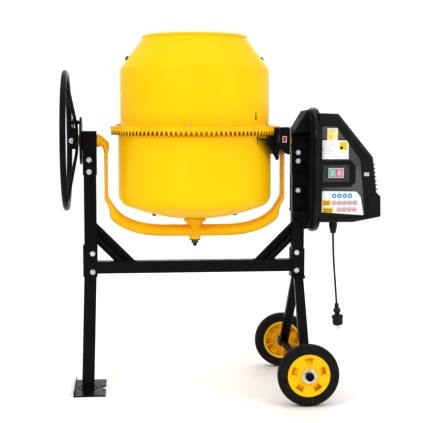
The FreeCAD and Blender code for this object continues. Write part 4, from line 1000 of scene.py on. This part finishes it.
foot = {"x": -446.8, "ringIn": 37, "ringOut": 43, "ringTop": 8.6, "ringLow": 5.5}
footCopy = roundedCopy("footCopy", "foot_plate", "blackPaint", long=1.6, short=0.8, longFrom=30)
footRing = turnedPiece("footRing", [(foot["ringIn"] - 3, foot["ringLow"]), (foot["ringIn"], foot["ringTop"], 2),
                                    (foot["ringOut"], foot["ringTop"], 2), (foot["ringOut"] + 3, foot["ringLow"])],
                       "blackPaint", centre=(foot["x"], 0, 0), steps=72)
place(joined("footPlate", [footCopy, footRing]), "frame", "black_paint", "foot_plate")

# weld beads: overlapping scales of metal in a row; a line is x, y and z of its start and of its end
weld = {"scale": 2.6, "step": 3.1, "sides": 10,
        "bothSides": [(406, -14, 603, 406, -14, 640), (406, -14, 658, 406, -14, 694),
                      (245, -13, 538.5, 283, -13, 538.5), (300, -13, 538.5, 335, -13, 538.5),
                      (406, -24.5, 489.5, 406, -24.5, 537), (406, 24.5, 489.5, 406, 24.5, 537)],
        "foot": [(-471, y, 6.8, -423, y, 6.8) for y in (-26, 26)],
        "socket": [(412, y, 461.5, 454, y, 461.5) for y in (-45, -10, 10, 45)]}


def weldRow(start, end):
    a, b = Vector(start), Vector(end)
    along = (b - a).normalized()
    side = along.orthogonal().normalized()
    up = along.cross(side)
    rings = []
    for t, r in ((-1.0, 0.25), (-0.75, 0.7), (0.0, 1.0), (0.8, 0.85), (1.05, 0.3)):
        turns = [2 * pi * k / weld["sides"] for k in range(weld["sides"])]
        rings.append([a + (along * t * 1.15 + side * cos(turn) * r + up * sin(turn) * r) * weld["scale"]
                      for turn in turns])
    scale = meshObject("weldBead", *loftRings(rings), "blackPaint")
    count = max(2, int((b - a).length / weld["step"]))
    scale.data.transform(Matrix.Translation(-a))
    inRow(scale, count, tuple((b - a) / (count - 1)), "blackPaint")
    scale.data.transform(Matrix.Translation(a))
    return scale


weldLines = []
for side in (-1, 1):
    weldLines += [(side * x0, y0, z0, side * x1, y1, z1) for x0, y0, z0, x1, y1, z1 in weld["bothSides"]]
welds = [weldRow(line[:3], line[3:]) for line in weldLines + weld["foot"] + weld["socket"]]
place(joined("frameWelds", welds), "frame", "black_paint")

# x, z and half of what the bolt holds together
frameBolts = [(-434, 957, 28), (-434, 908, 28), (428, 985, 32), (428, 950, 32), (428, 828, 32), (-423, 572, 29),
              (-423, 496, 29), (425, 567, 28), (425, 492, 28)]
boltsAt = {"gap": 0.15, "size": 0.92, "headTwist": 31, "nutTwist": 13}
frontHeads = atSpots("frontHeads", helpers["bigHead"],
                     [((x, -half - boltsAt["gap"], z), (0, -1, 0), boltsAt["headTwist"] * i)
                      for i, (x, z, half) in enumerate(frameBolts)], "zincPlate", boltsAt["size"])
backNuts = atSpots("backNuts", helpers["bigNut"],
                   [((x, half + boltsAt["gap"], z), (0, 1, 0), boltsAt["nutTwist"] * i)
                    for i, (x, z, half) in enumerate(frameBolts)], "zincPlate", boltsAt["size"])
place(joined("frameBolts", [frontHeads, backNuts]), "frame", "zinc", "frame_bolts")

bush = {"inR": 22.1, "outR": 26.9, "from": 402, "to": 460}
bushes = []
for side in (-1, 1):
    low, high = sorted((side * bush["from"], side * bush["to"]))
    bushes.append(turnedPiece("bush", [(bush["inR"], low), (bush["outR"], low, 0.6), (bush["outR"], high, 0.6),
                                       (bush["inR"], high)], "bronzeBush", axis="x", centre=(0, 0, pivotZ),
                              steps=64))
place(joined("trunnionBushes", bushes), "frame", "bush_bronze", "trunnion_bushes")
place(roundedCopy("lockingDisc", "locking_disc", "blackPaint", long=1.2, short=1.0), "frame", "black_paint",
      "locking_disc")


print("handwheel")
wheel = {"x": -526, "r": 274, "tube": 12, "spoke": 5, "steps": 144, "spokeUp": 27, "spokeDown": 21, "hubX": -483,
         "hubY": 32.5, "hubTop": 58, "hubBottom": 44, "bend": 26, "pinUp": 74, "pivotX": -502}
turns = [2 * pi * k / wheel["steps"] for k in range(wheel["steps"])]
rimRoute = [(wheel["x"], wheel["r"] * sin(turn), pivotZ + wheel["r"] * cos(turn)) for turn in turns]
place(sweptTube("handwheelRim", rimRoute, wheel["tube"], "blackPaint", sides=28, closedLoop=True), "handwheel",
      "black_paint", "handwheel_rim", smooth=60)
spokes = []
up, down = radians(wheel["spokeUp"]), radians(wheel["spokeDown"])
for side in (-1, 1):
    route = [(wheel["x"], side * wheel["r"] * sin(up), pivotZ + wheel["r"] * cos(up)),
             (wheel["hubX"], side * wheel["hubY"], pivotZ + wheel["hubTop"]),
             (wheel["hubX"], side * wheel["hubY"], pivotZ - wheel["hubBottom"]),
             (wheel["x"], side * wheel["r"] * sin(down), pivotZ - wheel["r"] * cos(down))]
    spokes.append(sweptTube("spoke", roundedRoute(route, wheel["bend"]), wheel["spoke"], "blackPaint", sides=18))
place(joined("handwheelSpokes", spokes), "handwheel", "black_paint", "handwheel_spokes", smooth=60)
place(roundedCopy("handwheelHub", "handwheel_hub", "blackPaint", long=1.4, short=0.7, longFrom=20), "handwheel",
      "black_paint", "handwheel_hub")
place(turnedPiece("lockPin", [(0, -512), (11, -512, 2), (11, -506, 1), (7, -505.5), (7, -485, 0.5), (11, -484, 0.8),
                              (5, -470.8, 1), (0, -470.8)], "blackPaint", axis="x",
                  centre=(0, 0, pivotZ + wheel["pinUp"]), steps=48), "handwheel", "dark_steel", "lock_pin")
pivotHead = turnedPiece("pivotHead", [(0, -35.5), (2.6, -35.5), (2.6, -36.4), (6, -36.4, 3), (12, -32, 2.5),
                                      (12, -27.9), (6, -27.9), (6, 30), (0, 30)], "zincPlate", axis="y",
                        centre=(wheel["pivotX"], 0, pivotZ), steps=48)
pivotNut = meshObject("pivotNut", *loftRings([[(wheel["pivotX"] + x, z, pivotZ + y) for x, y, z in ring]
                                              for ring in hexPrism(19, 27.9, 36.9, 1)]), "zincPlate")
place(joined("hubPivotBolt", [pivotHead, pivotNut]), "handwheel", "zinc", "hub_pivot_bolt")


print("road wheels")
road = {"x": 421, "z": 122.5, "y": 330, "blocks": 104, "crown": 122.4, "crownBend": 0.0105, "blockHalf": 1.7,
        "blockDeep": 2.2}
tyreProfile = [(-18.5, 84.5), (18.5, 84.5), (22.5, 90.5, 2), (23.4, 99, 3), (22.6, 100.2), (22.6, 101.4), (23.5, 102.6),
               (23.3, 108, 3), (21.2, 115.5, 4), (15, 119.8, 5), (0, 121.2, 30), (-15, 119.8, 5), (-21.2, 115.5, 4),
               (-23.3, 108, 3), (-23.5, 102.6), (-22.6, 101.4), (-22.6, 100.2), (-23.4, 99, 3), (-22.5, 90.5, 2)]
# a pocket's floor slopes from floorIn by the boss to floorOut by the rim; spare widens it to reach its walls
pockets = {"count": 5, "in": 46, "out": 69.5, "narrow": 12.5, "wide": 17, "reach": 1.2, "face": 15.2, "webBack": 9.5,
           "floorIn": 12.5, "floorOut": -9.0, "t": 1.8, "wallTop": 14.8, "spare": 1.03, "steps": 12}


def treadBlock(low, high, lean):
    # one bar of the tread, which follows the crown of the tyre
    rings = []
    for k in range(5):
        w = low + (high - low) * k / 4
        crown = road["crown"] - road["crownBend"] * w * w
        half, root = road["blockHalf"], crown - road["blockDeep"]
        u = lean * (w - low)
        rings.append([(u - half, w, root), (u + half, w, root), (u + half * 0.8, w, crown),
                      (u - half * 0.8, w, crown)])
    return meshObject("treadBlock", *loftRings(rings), "tyreRubber")


def wheelSet(side, title, tyreNode, discNode, body):
    centre = Matrix.Translation((road["x"], side * road["y"], road["z"]))
    tyre = turnedPiece("tyre", [(r, w) for w, r in filleted(tyreProfile)], "tyreRubber", axis="y", steps=160)
    bars = []
    step = 360 / road["blocks"]
    for low, high, lean, first in ((-19.5, -7.5, 0.25, 0), (7.5, 19.5, -0.25, 0.5), (-5.5, 5.5, 0.0, 0.25)):
        bar = treadBlock(low, high, lean)
        bars.append(around(bar, road["blocks"], first * step, step, (0, 1, 0), "tyreRubber"))
    shoulder = slabPiece("shoulderBlock", [(-2.0, 114.5), (2.0, 114.5), (1.6, 119.2), (-1.6, 119.2)], 20.2, 22.6,
                         "tyreRubber", plane="xz")
    around(shoulder, road["blocks"], 0, step, (0, 1, 0), "tyreRubber")
    otherShoulder = shoulder.copy()
    otherShoulder.data = shoulder.data.copy()
    bpy.context.scene.collection.objects.link(otherShoulder)
    otherShoulder.data.transform(Matrix.Scale(-1, 4, (0, 1, 0)))
    otherShoulder.data.flip_normals()
    whole = joined(title + "Tyre", [tyre, shoulder, otherShoulder] + bars)
    whole.data.transform(centre)
    place(whole, body, "tyre_rubber", tyreNode)

    # drawn for the wheel whose outer side is +y: rim, boss and a web with sloping pockets, hollow behind
    ring = turnedPiece("rimRing", [(84.4, -18), (84.4, 18), (81, 18.4, 1.2), (76.5, 17.6, 2), (73.5, 15.4, 2),
                                   (pockets["out"] + 0.6, pockets["face"]), (pockets["out"] + 0.6, 8), (73, 6, 2),
                                   (74.5, -18, 1)], "wheelPlastic", axis="y", steps=160)
    boss = turnedPiece("hubBoss", [(16.1, -25), (31, -25, 1.5), (34, 4, 4), (45.4, 9), (45.4, pockets["face"]),
                                   (36, 15.8, 3), (31, 25, 1.5), (16.1, 25)], "wheelPlastic", axis="y", steps=120)
    sector = 2 * pi / pockets["count"]
    inHalf, outHalf = atan2(pockets["narrow"], pockets["in"]), atan2(pockets["wide"], pockets["out"])
    inner, outer = pockets["in"] - pockets["reach"], pockets["out"] + pockets["reach"]
    inSpan, outSpan, t = inHalf * pockets["spare"], outHalf * pockets["spare"], pockets["t"]
    floorIn, floorOut, face, webBack = pockets["floorIn"], pockets["floorOut"], pockets["face"], pockets["webBack"]

    def arcRow(r, start, stop, h):
        angles = [start + (stop - start) * k / pockets["steps"] for k in range(pockets["steps"] + 1)]
        return [(r * sin(a), h, r * cos(a)) for a in angles]

    # the web between two pockets, then the pocket's own tray: floor, sides and outer wall with real thickness
    web = [arcRow(inner, inHalf, sector - inHalf, face), arcRow(outer, outHalf, sector - outHalf, face),
           arcRow(outer, outHalf, sector - outHalf, webBack), arcRow(inner, inHalf, sector - inHalf, webBack)]
    tray = [arcRow(inner, -inSpan, inSpan, floorIn), arcRow(outer, -outSpan, outSpan, floorOut),
            arcRow(outer, -outSpan, outSpan, floorOut - t), arcRow(inner, -inSpan, inSpan, floorIn - t)]
    sides = [meshObject("webSector", *stripBlock(web), "wheelPlastic"),
             meshObject("pocketFloor", *stripBlock(tray), "wheelPlastic")]
    for way in (-1, 1):
        a0, a1 = way * inHalf, way * outHalf
        b0, b1 = way * (inHalf + t / inner), way * (outHalf + t / outer)
        wall = []
        for r, a, low in ((inner, a0, floorIn - t), (outer, a1, floorOut - t), (outer, b1, floorOut - t),
                          (inner, b0, floorIn - t)):
            wall.append([(r * sin(a), low, r * cos(a)), (r * sin(a), pockets["wallTop"], r * cos(a))])
        sides.append(meshObject("pocketWall", *stripBlock(wall), "wheelPlastic"))
    low, high = floorOut - t, pockets["wallTop"]
    back = [arcRow(r, -outSpan, outSpan, h) for r, h in ((outer - 1.1, low), (outer - 1.1, high), (outer + 0.6, high),
                                                         (outer + 0.6, low))]
    sides.append(meshObject("pocketBack", *stripBlock(back), "wheelPlastic"))
    for piece in sides:
        around(piece, pockets["count"], 0, degrees(sector), (0, 1, 0), "wheelPlastic")
    rib = slabPiece("innerRib", [(33, -17), (74.5, -15.5), (74.5, 9), (34, 9)], -1.5, 1.5, "wheelPlastic", plane="xy")
    around(rib, pockets["count"], degrees(sector) / 4, degrees(sector), (0, 1, 0), "wheelPlastic")
    whole = joined(title + "WheelDisc", [ring, boss, rib] + sides)
    if side < 0:
        whole.data.transform(Matrix.Rotation(pi, 4, "Z"))
    whole.data.transform(centre)
    place(whole, body, "yellow_plastic", discNode)


wheelSet(-1, "front", "front_tyre", "front_wheel_disc", "front_wheel")
wheelSet(1, "rear", "rear_tyre", "rear_wheel_disc", "rear_wheel")

axle = {"end": 373, "r": 16, "washerAt": (-28.5, 25.5), "washerT": 3, "washerIn": 16.3, "washerOut": 29.5,
        "pinY": 365, "pinR": 1.0}
washers, pins = [], []
for side in (-1, 1):
    for offset in axle["washerAt"]:
        y0, y1 = sorted((side * (road["y"] + offset), side * (road["y"] + offset + axle["washerT"])))
        washers.append(turnedPiece("washer", [(axle["washerIn"], y0), (axle["washerOut"], y0, 1),
                                              (axle["washerOut"], y1, 1), (20, y1), (19, y1 - 0.4),
                                              (axle["washerIn"], y1 - 0.4)], "zincPlate", axis="y",
                                   centre=(road["x"], 0, road["z"]), steps=72))
    for way in (-1, 1):
        route = [(road["x"] + way * out, side * axle["pinY"], road["z"] + up)
                 for out, up in ((1.0, -21), (1.0, 17), (3.4, 23), (0, 28))]
        pins.append(sweptTube("pin", roundedRoute(route, 3), axle["pinR"], "zincPlate", sides=10))
place(joined("axleWashers", washers), "frame", "zinc", "axle_washers")
place(joined("splitPins", pins), "frame", "zinc", "split_pins")
place(turnedPiece("wheelAxle", [(0, -axle["end"]), (axle["r"], -axle["end"], 1.5), (axle["r"], axle["end"], 1.5),
                                (0, axle["end"])], "blackPaint", axis="y", centre=(road["x"], 0, road["z"]),
                  steps=64), "frame", "black_paint", "wheel_axle")


print("housing")
case = {"beadR": 133, "topZ": 1170, "bottomZ": 656, "panel": -114, "panelT": 0.35, "fins": 7, "finStep": (-2.15, 0, 17),
        "finStart": (0, 0, 834), "sideFins": 6, "sideFinStep": (-2.5, 0, 20), "sideFinStart": (-2.6, 0, 833),
        "straight": 6}
place(roundedCopy("housingBackShell", "housing_back_shell", "shellPlastic", long=2.0, short=0.8, longFrom=20), "frame",
      "black_plastic", "housing_back_shell")


def stadiumRoute(radius, steps=24):
    low, high = case["bottomZ"] + case["beadR"], case["topZ"] - case["beadR"]
    route = []
    for k in range(steps + 1):
        a = pi * k / steps
        route.append((radius * cos(a), high + radius * sin(a)))
    straight = case["straight"]
    for k in range(1, straight):
        route.append((-radius, high + (low - high) * k / straight))
    for k in range(steps + 1):
        a = pi + pi * k / steps
        route.append((radius * cos(a), low + radius * sin(a)))
    for k in range(1, straight):
        route.append((radius, low + (high - low) * k / straight))
    return route


def beadBand(name, section, finish):
    # section: (x, distance in from the stadium's outline)
    rings = []
    for x, inset in section:
        rings.append([(x, y, z) for y, z in stadiumRoute(case["beadR"] - inset)])
    return meshObject(name, *loftRings(rings, closedLoop=True), finish)


bead = beadBand("bead", filleted([(479, 12), (479, 1.5, 5), (487, -2.2, 7), (499, -2.2, 5), (501.5, 2, 2),
                                  (501.5, 12)]), "blackPlastic")
lip = beadBand("lip", filleted([(502, 14), (502, 2.2, 1.5), (505, 0.4, 3), (509, 3, 2.5), (509, 14)]), "blackPlastic")
place(joined("housingBead", [bead, lip]), "frame", "black_plastic")

cover = roundedCopy("coverShell", "housing_cover", "blackPlastic", long=2.6, short=0.7, longFrom=40)
bulge = slabPiece("bulge", [(703, 812, 3), (741, 813, 3), (754.5, 803, 4), (756.5, 726, 6), (700, 713.5, 3)], -121.5,
                  -112, "blackPlastic", edge=3.0, edgeSteps=3)
bulgeFace = slabPiece("bulgeFace", [(711, 797, 2), (747, 795, 2), (747.5, 733, 3), (711, 724, 2)], -122.6, -121,
                      "blackPlastic", edge=0.9)
fin = slabPiece("grilleFin", [(703, -119.5, 1.5), (733, -119.5, 5), (746, -108, 2), (742, -105), (730, -115),
                              (703, -115)], 0, 4.5, "blackPlastic", plane="xy", edge=1.0)
inRow(fin, case["fins"], case["finStep"], "blackPlastic")
fin.data.transform(Matrix.Translation(case["finStart"]))
sideFin = slabPiece("sideFin", roundedBox(-100, 100, -1.5, 1.5, 1), 735, 743.5, "blackPlastic", plane="yz", edge=0.8)
inRow(sideFin, case["sideFins"], case["sideFinStep"], "blackPlastic")
sideFin.data.transform(Matrix.Translation(case["sideFinStart"]))
stripRoute = [(x, -116.4, z) for x, z in ((511, 1130), (574, 1127), (712, 962), (722, 850))]
rimStrip = sweptTube("rimStrip", roundedRoute(stripRoute, 22), 2.2, "blackPlastic", sides=12)
place(joined("housingCover", [cover, bulge, bulgeFace, fin, sideFin, rimStrip]), "frame", "black_plastic",
      "housing_cover")

panelShape = filleted([(510.5, 1092.5, 3), (570, 1092.5, 5), (670.5, 956.5, 6), (692, 729.5, 3), (510.5, 743.5, 3)])
# the panel's finish carries painted reflection as lighter grey patches
place(slabPiece("frontPanel", panelShape, case["panel"] - case["panelT"], case["panel"] + 0.2, "panelPlastic",
                edge=0.15), "frame", "black_plastic")
surround = filleted([(510, 953, 4), (630, 953, 6), (649, 932, 6), (649, 868, 6), (630, 848, 6), (510, 848, 4)])
switchPanel = {"front": -116.3, "back": -113.5, "rimY": -116.9, "rimR": 1.4, "latch": (-122.5, -114),
               "tongue": (-124.0, -122)}
surroundRoute = [(x, switchPanel["rimY"], z) for x, z in surround]
plate = slabPiece("surroundPlate", surround, switchPanel["front"], switchPanel["back"], "blackPlastic", edge=1.0)
rim = sweptTube("surroundRim", surroundRoute, switchPanel["rimR"], "blackPlastic", sides=12, closedLoop=True)
place(joined("switchSurround", [plate, rim]), "frame", "black_plastic")
latch = slabPiece("latch", roundedBox(684, 706, 890.5, 906, 1.5), *switchPanel["latch"], "zincPlate", edge=1.0)
latchTongue = slabPiece("latchTongue", roundedBox(688, 703, 895, 901.5, 1), *switchPanel["tongue"], "zincPlate",
                        edge=0.6)
place(joined("coverLatch", [latch, latchTongue]), "frame", "zinc")

screwHead = turnedPiece("screwHead", [(0, 0), (5, 0), (5, 1.4, 1), (2.4, 2.6), (2.0, 1.2), (0, 1.2)], "darkSteel",
                        steps=24)
flangeSpots = [(0, 1160), (0, 666), (-124, 1000), (124, 1000), (-124, 830), (124, 830)]  # y, z on the join
place(atSpots("housingScrews", screwHead, [((508.9, y, z), (1, 0, 0), 19 * i) for i, (y, z) in enumerate(flangeSpots)],
              "darkSteel"), "frame", "dark_steel", "housing_screws")

switchBody = roundedCopy("switchBody", "switch_box", "greyPlastic", long=1.6, short=0.5, longFrom=40)
switchFront, screwSize = -130.1, 0.9
switchSpots = [((517, switchFront, 903), (0, -1, 0), 30), ((615, switchFront, 903), (0, -1, 0), 75)]
switchScrews = atSpots("switchScrews", screwHead, switchSpots, "darkSteel", screwSize)
place(joined("switchBox", [switchBody, switchScrews]), "frame", "grey_plastic", "switch_box")
place(roundedCopy("switchBezel", "switch_bezel", "palePlastic", long=0.8, short=0.5, longFrom=20), "frame",
      "pale_plastic", "switch_bezel")
startLow, startHigh = boxOf("start_button")
stopLow, stopHigh = boxOf("stop_button")
startMiddle, stopMiddle = (startLow + startHigh) / 2, (stopLow + stopHigh) / 2
startCopy = roundedCopy("startCopy", "start_button", "greenPlastic", long=0.4, short=0.3, longFrom=10)
markProud, markSunk, markRings = 0.3, 0.5, (4.4, 6.2)
markShape = roundedBox(startMiddle.x - 1.1, startMiddle.x + 1.1, startMiddle.z - 6, startMiddle.z + 6, 0.6)
startMark = slabPiece("startMark", markShape, startLow.y - markProud, startLow.y + markSunk, "stickerFilm")
place(joined("startButton", [startCopy, startMark]), "start_button", "green_plastic", "start_button")
stopCopy = roundedCopy("stopCopy", "stop_button", "redPlastic", long=0.4, short=0.3, longFrom=10)
stopMark = turnedPiece("stopMark", roundedBox(*markRings, stopLow.y - markProud, stopLow.y + markSunk),
                       "stickerFilm", axis="y", centre=(stopMiddle.x, 0, stopMiddle.z), steps=40)
place(joined("stopButton", [stopCopy, stopMark]), "stop_button", "red_plastic", "stop_button")


# plain stickers: film, blocks of colour and bars where print would be
face = case["panel"] - case["panelT"]
sticker = {"film": 0.35, "ink": 0.12, "bar": 1.1}


def film(name, outline, finish="stickerFilm"):
    return slabPiece(name, outline, face - sticker["film"], face + 0.1, finish)


def ink(name, outline, finish, layer=1):
    top = face - sticker["film"] - layer * sticker["ink"]
    return slabPiece(name, outline, top, top + sticker["ink"] + 0.05, finish)


def disc(x, z, r, count=28):
    return [(x + r * cos(2 * pi * k / count), z + r * sin(2 * pi * k / count)) for k in range(count)]


def bars(name, x, z, widths, gap, finish):
    return joined(name, [ink("bar", roundedBox(x, x + w, z - i * gap - sticker["bar"], z - i * gap), finish)
                         for i, w in enumerate(widths)])


creamParts = [film("creamFilm", roundedBox(532, 576, 1036, 1086, 1.5), "creamFilm"),
              ink("creamPatch", roundedBox(538, 551, 1042, 1060), "yellowInk"),
              bars("creamBars", 538, 1080, [30, 24, 27, 15], 4.2, "greyInk")]
place(joined("creamSticker", creamParts), "frame", "pale_plastic")
whiteParts = [film("whiteFilm", roundedBox(509, 621, 960, 1036, 1.5)),
              ink("patch", roundedBox(583, 615, 996, 1030), "yellowInk"),
              ink("patchDark", roundedBox(586, 597, 1001, 1012), "blackInk", 2),
              bars("whiteBars", 515, 1029, [48, 38, 44, 50, 33, 46, 41, 28], 6.4, "greyInk"),
              bars("lowBars", 556, 974, [56, 44], 5.5, "greyInk"),
              bars("middleBars", 586, 990, [27, 20], 4.4, "greyInk")]
place(joined("whiteSticker", whiteParts), "frame", "pale_plastic")

signs = [film("signFilm", [(511, 733, 3), (686, 730, 3), (673, 806, 8), (655, 827, 5), (511, 830, 3)])]
# each kind of sign: where the row starts, its step, how many, and its discs as (name, radius, points, finish)
signRows = [(563, 810, 22, 4, [("blueDisc", 9.6, 28, "blueInk"), ("blueMark", 3.6, 12, "stickerFilm")])]
for startX, z, count in ((563, 781, 5), (583, 753, 4)):
    signRows.append((startX, z, 21.5, count, [("redDisc", 9.6, 28, "redInk"), ("redInner", 6.7, 28, "stickerFilm"),
                                              ("redMark", 3.4, 12, "blackInk")]))
for startX, z, step, count, discs in signRows:
    for i in range(count):
        for layer, (name, r, points, finish) in enumerate(discs, 1):
            signs.append(ink(name, disc(startX + step * i, z, r, points), finish, layer))
for name, x1, z0, z1 in (("amberUpper", 549, 770, 794), ("amberLower", 560, 739, 763)):
    signs.append(ink(name, roundedBox(514, x1, z0, z1, 1), "yellowInk"))
for x1, z0 in ((544, 775), (544, 783), (554, 745), (554, 753)):
    signs.append(ink("amberBar", roundedBox(519, x1, z0, z0 + 3), "blackInk", 2))
place(joined("signSticker", signs), "frame", "pale_plastic")


print("hidden drive parts")
for node, finish in (("pinion", "wornSteel"), ("drive_shaft", "darkSteel"), ("driven_pulley", "greyPlastic"),
                     ("motor_pulley", "darkSteel"), ("drive_belt", "tyreRubber"), ("motor_casing", "castAluminium"),
                     ("motor_rotor", "darkSteel"), ("drum_bearings", "darkSteel")):
    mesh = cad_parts[node].data
    mesh.materials.clear()
    mesh.materials.append(finishes[finish])
for helper in list(helpers.values()) + [screwHead]:
    bpy.data.objects.remove(helper)


print("studio")
# lamps: name, place, size and power
studio = {"floor": (0.97, 0.97, 0.97), "floorHalf": 30, "floorRough": 0.9, "sky": 1.05, "contrast": 0.76,
          "aim": (0, 0, 0.8),
          "lamps": [("frontLeft", (-2.6, -3.2, 2.8), 0.8, 30), ("frontRight", (2.8, -3.0, 2.2), 0.8, 20),
                    ("overhead", (0, -0.4, 4.4), 3.4, 20), ("behind", (0.4, 3.8, 2.6), 2.6, 25)]}
floorMesh = bpy.data.meshes.new("studioFloor")
half = studio["floorHalf"]
floorMesh.from_pydata([(-half, -half, 0), (half, -half, 0), (half, half, 0), (-half, half, 0)], [], [(0, 1, 2, 3)])
floor = bpy.data.objects.new("studioFloor", floorMesh)
bpy.context.scene.collection.objects.link(floor)
floorLook = bpy.data.materials.new("studioFloor")
floorLook.use_nodes = True
floorShader = floorLook.node_tree.nodes["Principled BSDF"]
floorShader.inputs["Base Color"].default_value = (*studio["floor"], 1)
floorShader.inputs["Roughness"].default_value = studio["floorRough"]
floorMesh.materials.append(floorLook)
world = bpy.data.worlds.new("studioWorld")
world.use_nodes = True
sky = world.node_tree.nodes["Background"]
sky.inputs["Color"].default_value = (1, 1, 1, 1)
sky.inputs["Strength"].default_value = studio["sky"]
bpy.context.scene.world = world
for name, spot, size, power in studio["lamps"]:
    lampData = bpy.data.lights.new(name, "AREA")
    lampData.shape = "SQUARE"
    lampData.size = size
    lampData.energy = power
    lamp = bpy.data.objects.new(name, lampData)
    lamp.location = spot
    lamp.rotation_euler = (Vector(studio["aim"]) - Vector(spot)).to_track_quat("-Z", "Y").to_euler()
    bpy.context.scene.collection.objects.link(lamp)
bpy.context.scene.view_settings.view_transform = "Standard"
bpy.context.scene.view_settings.gamma = studio["contrast"]
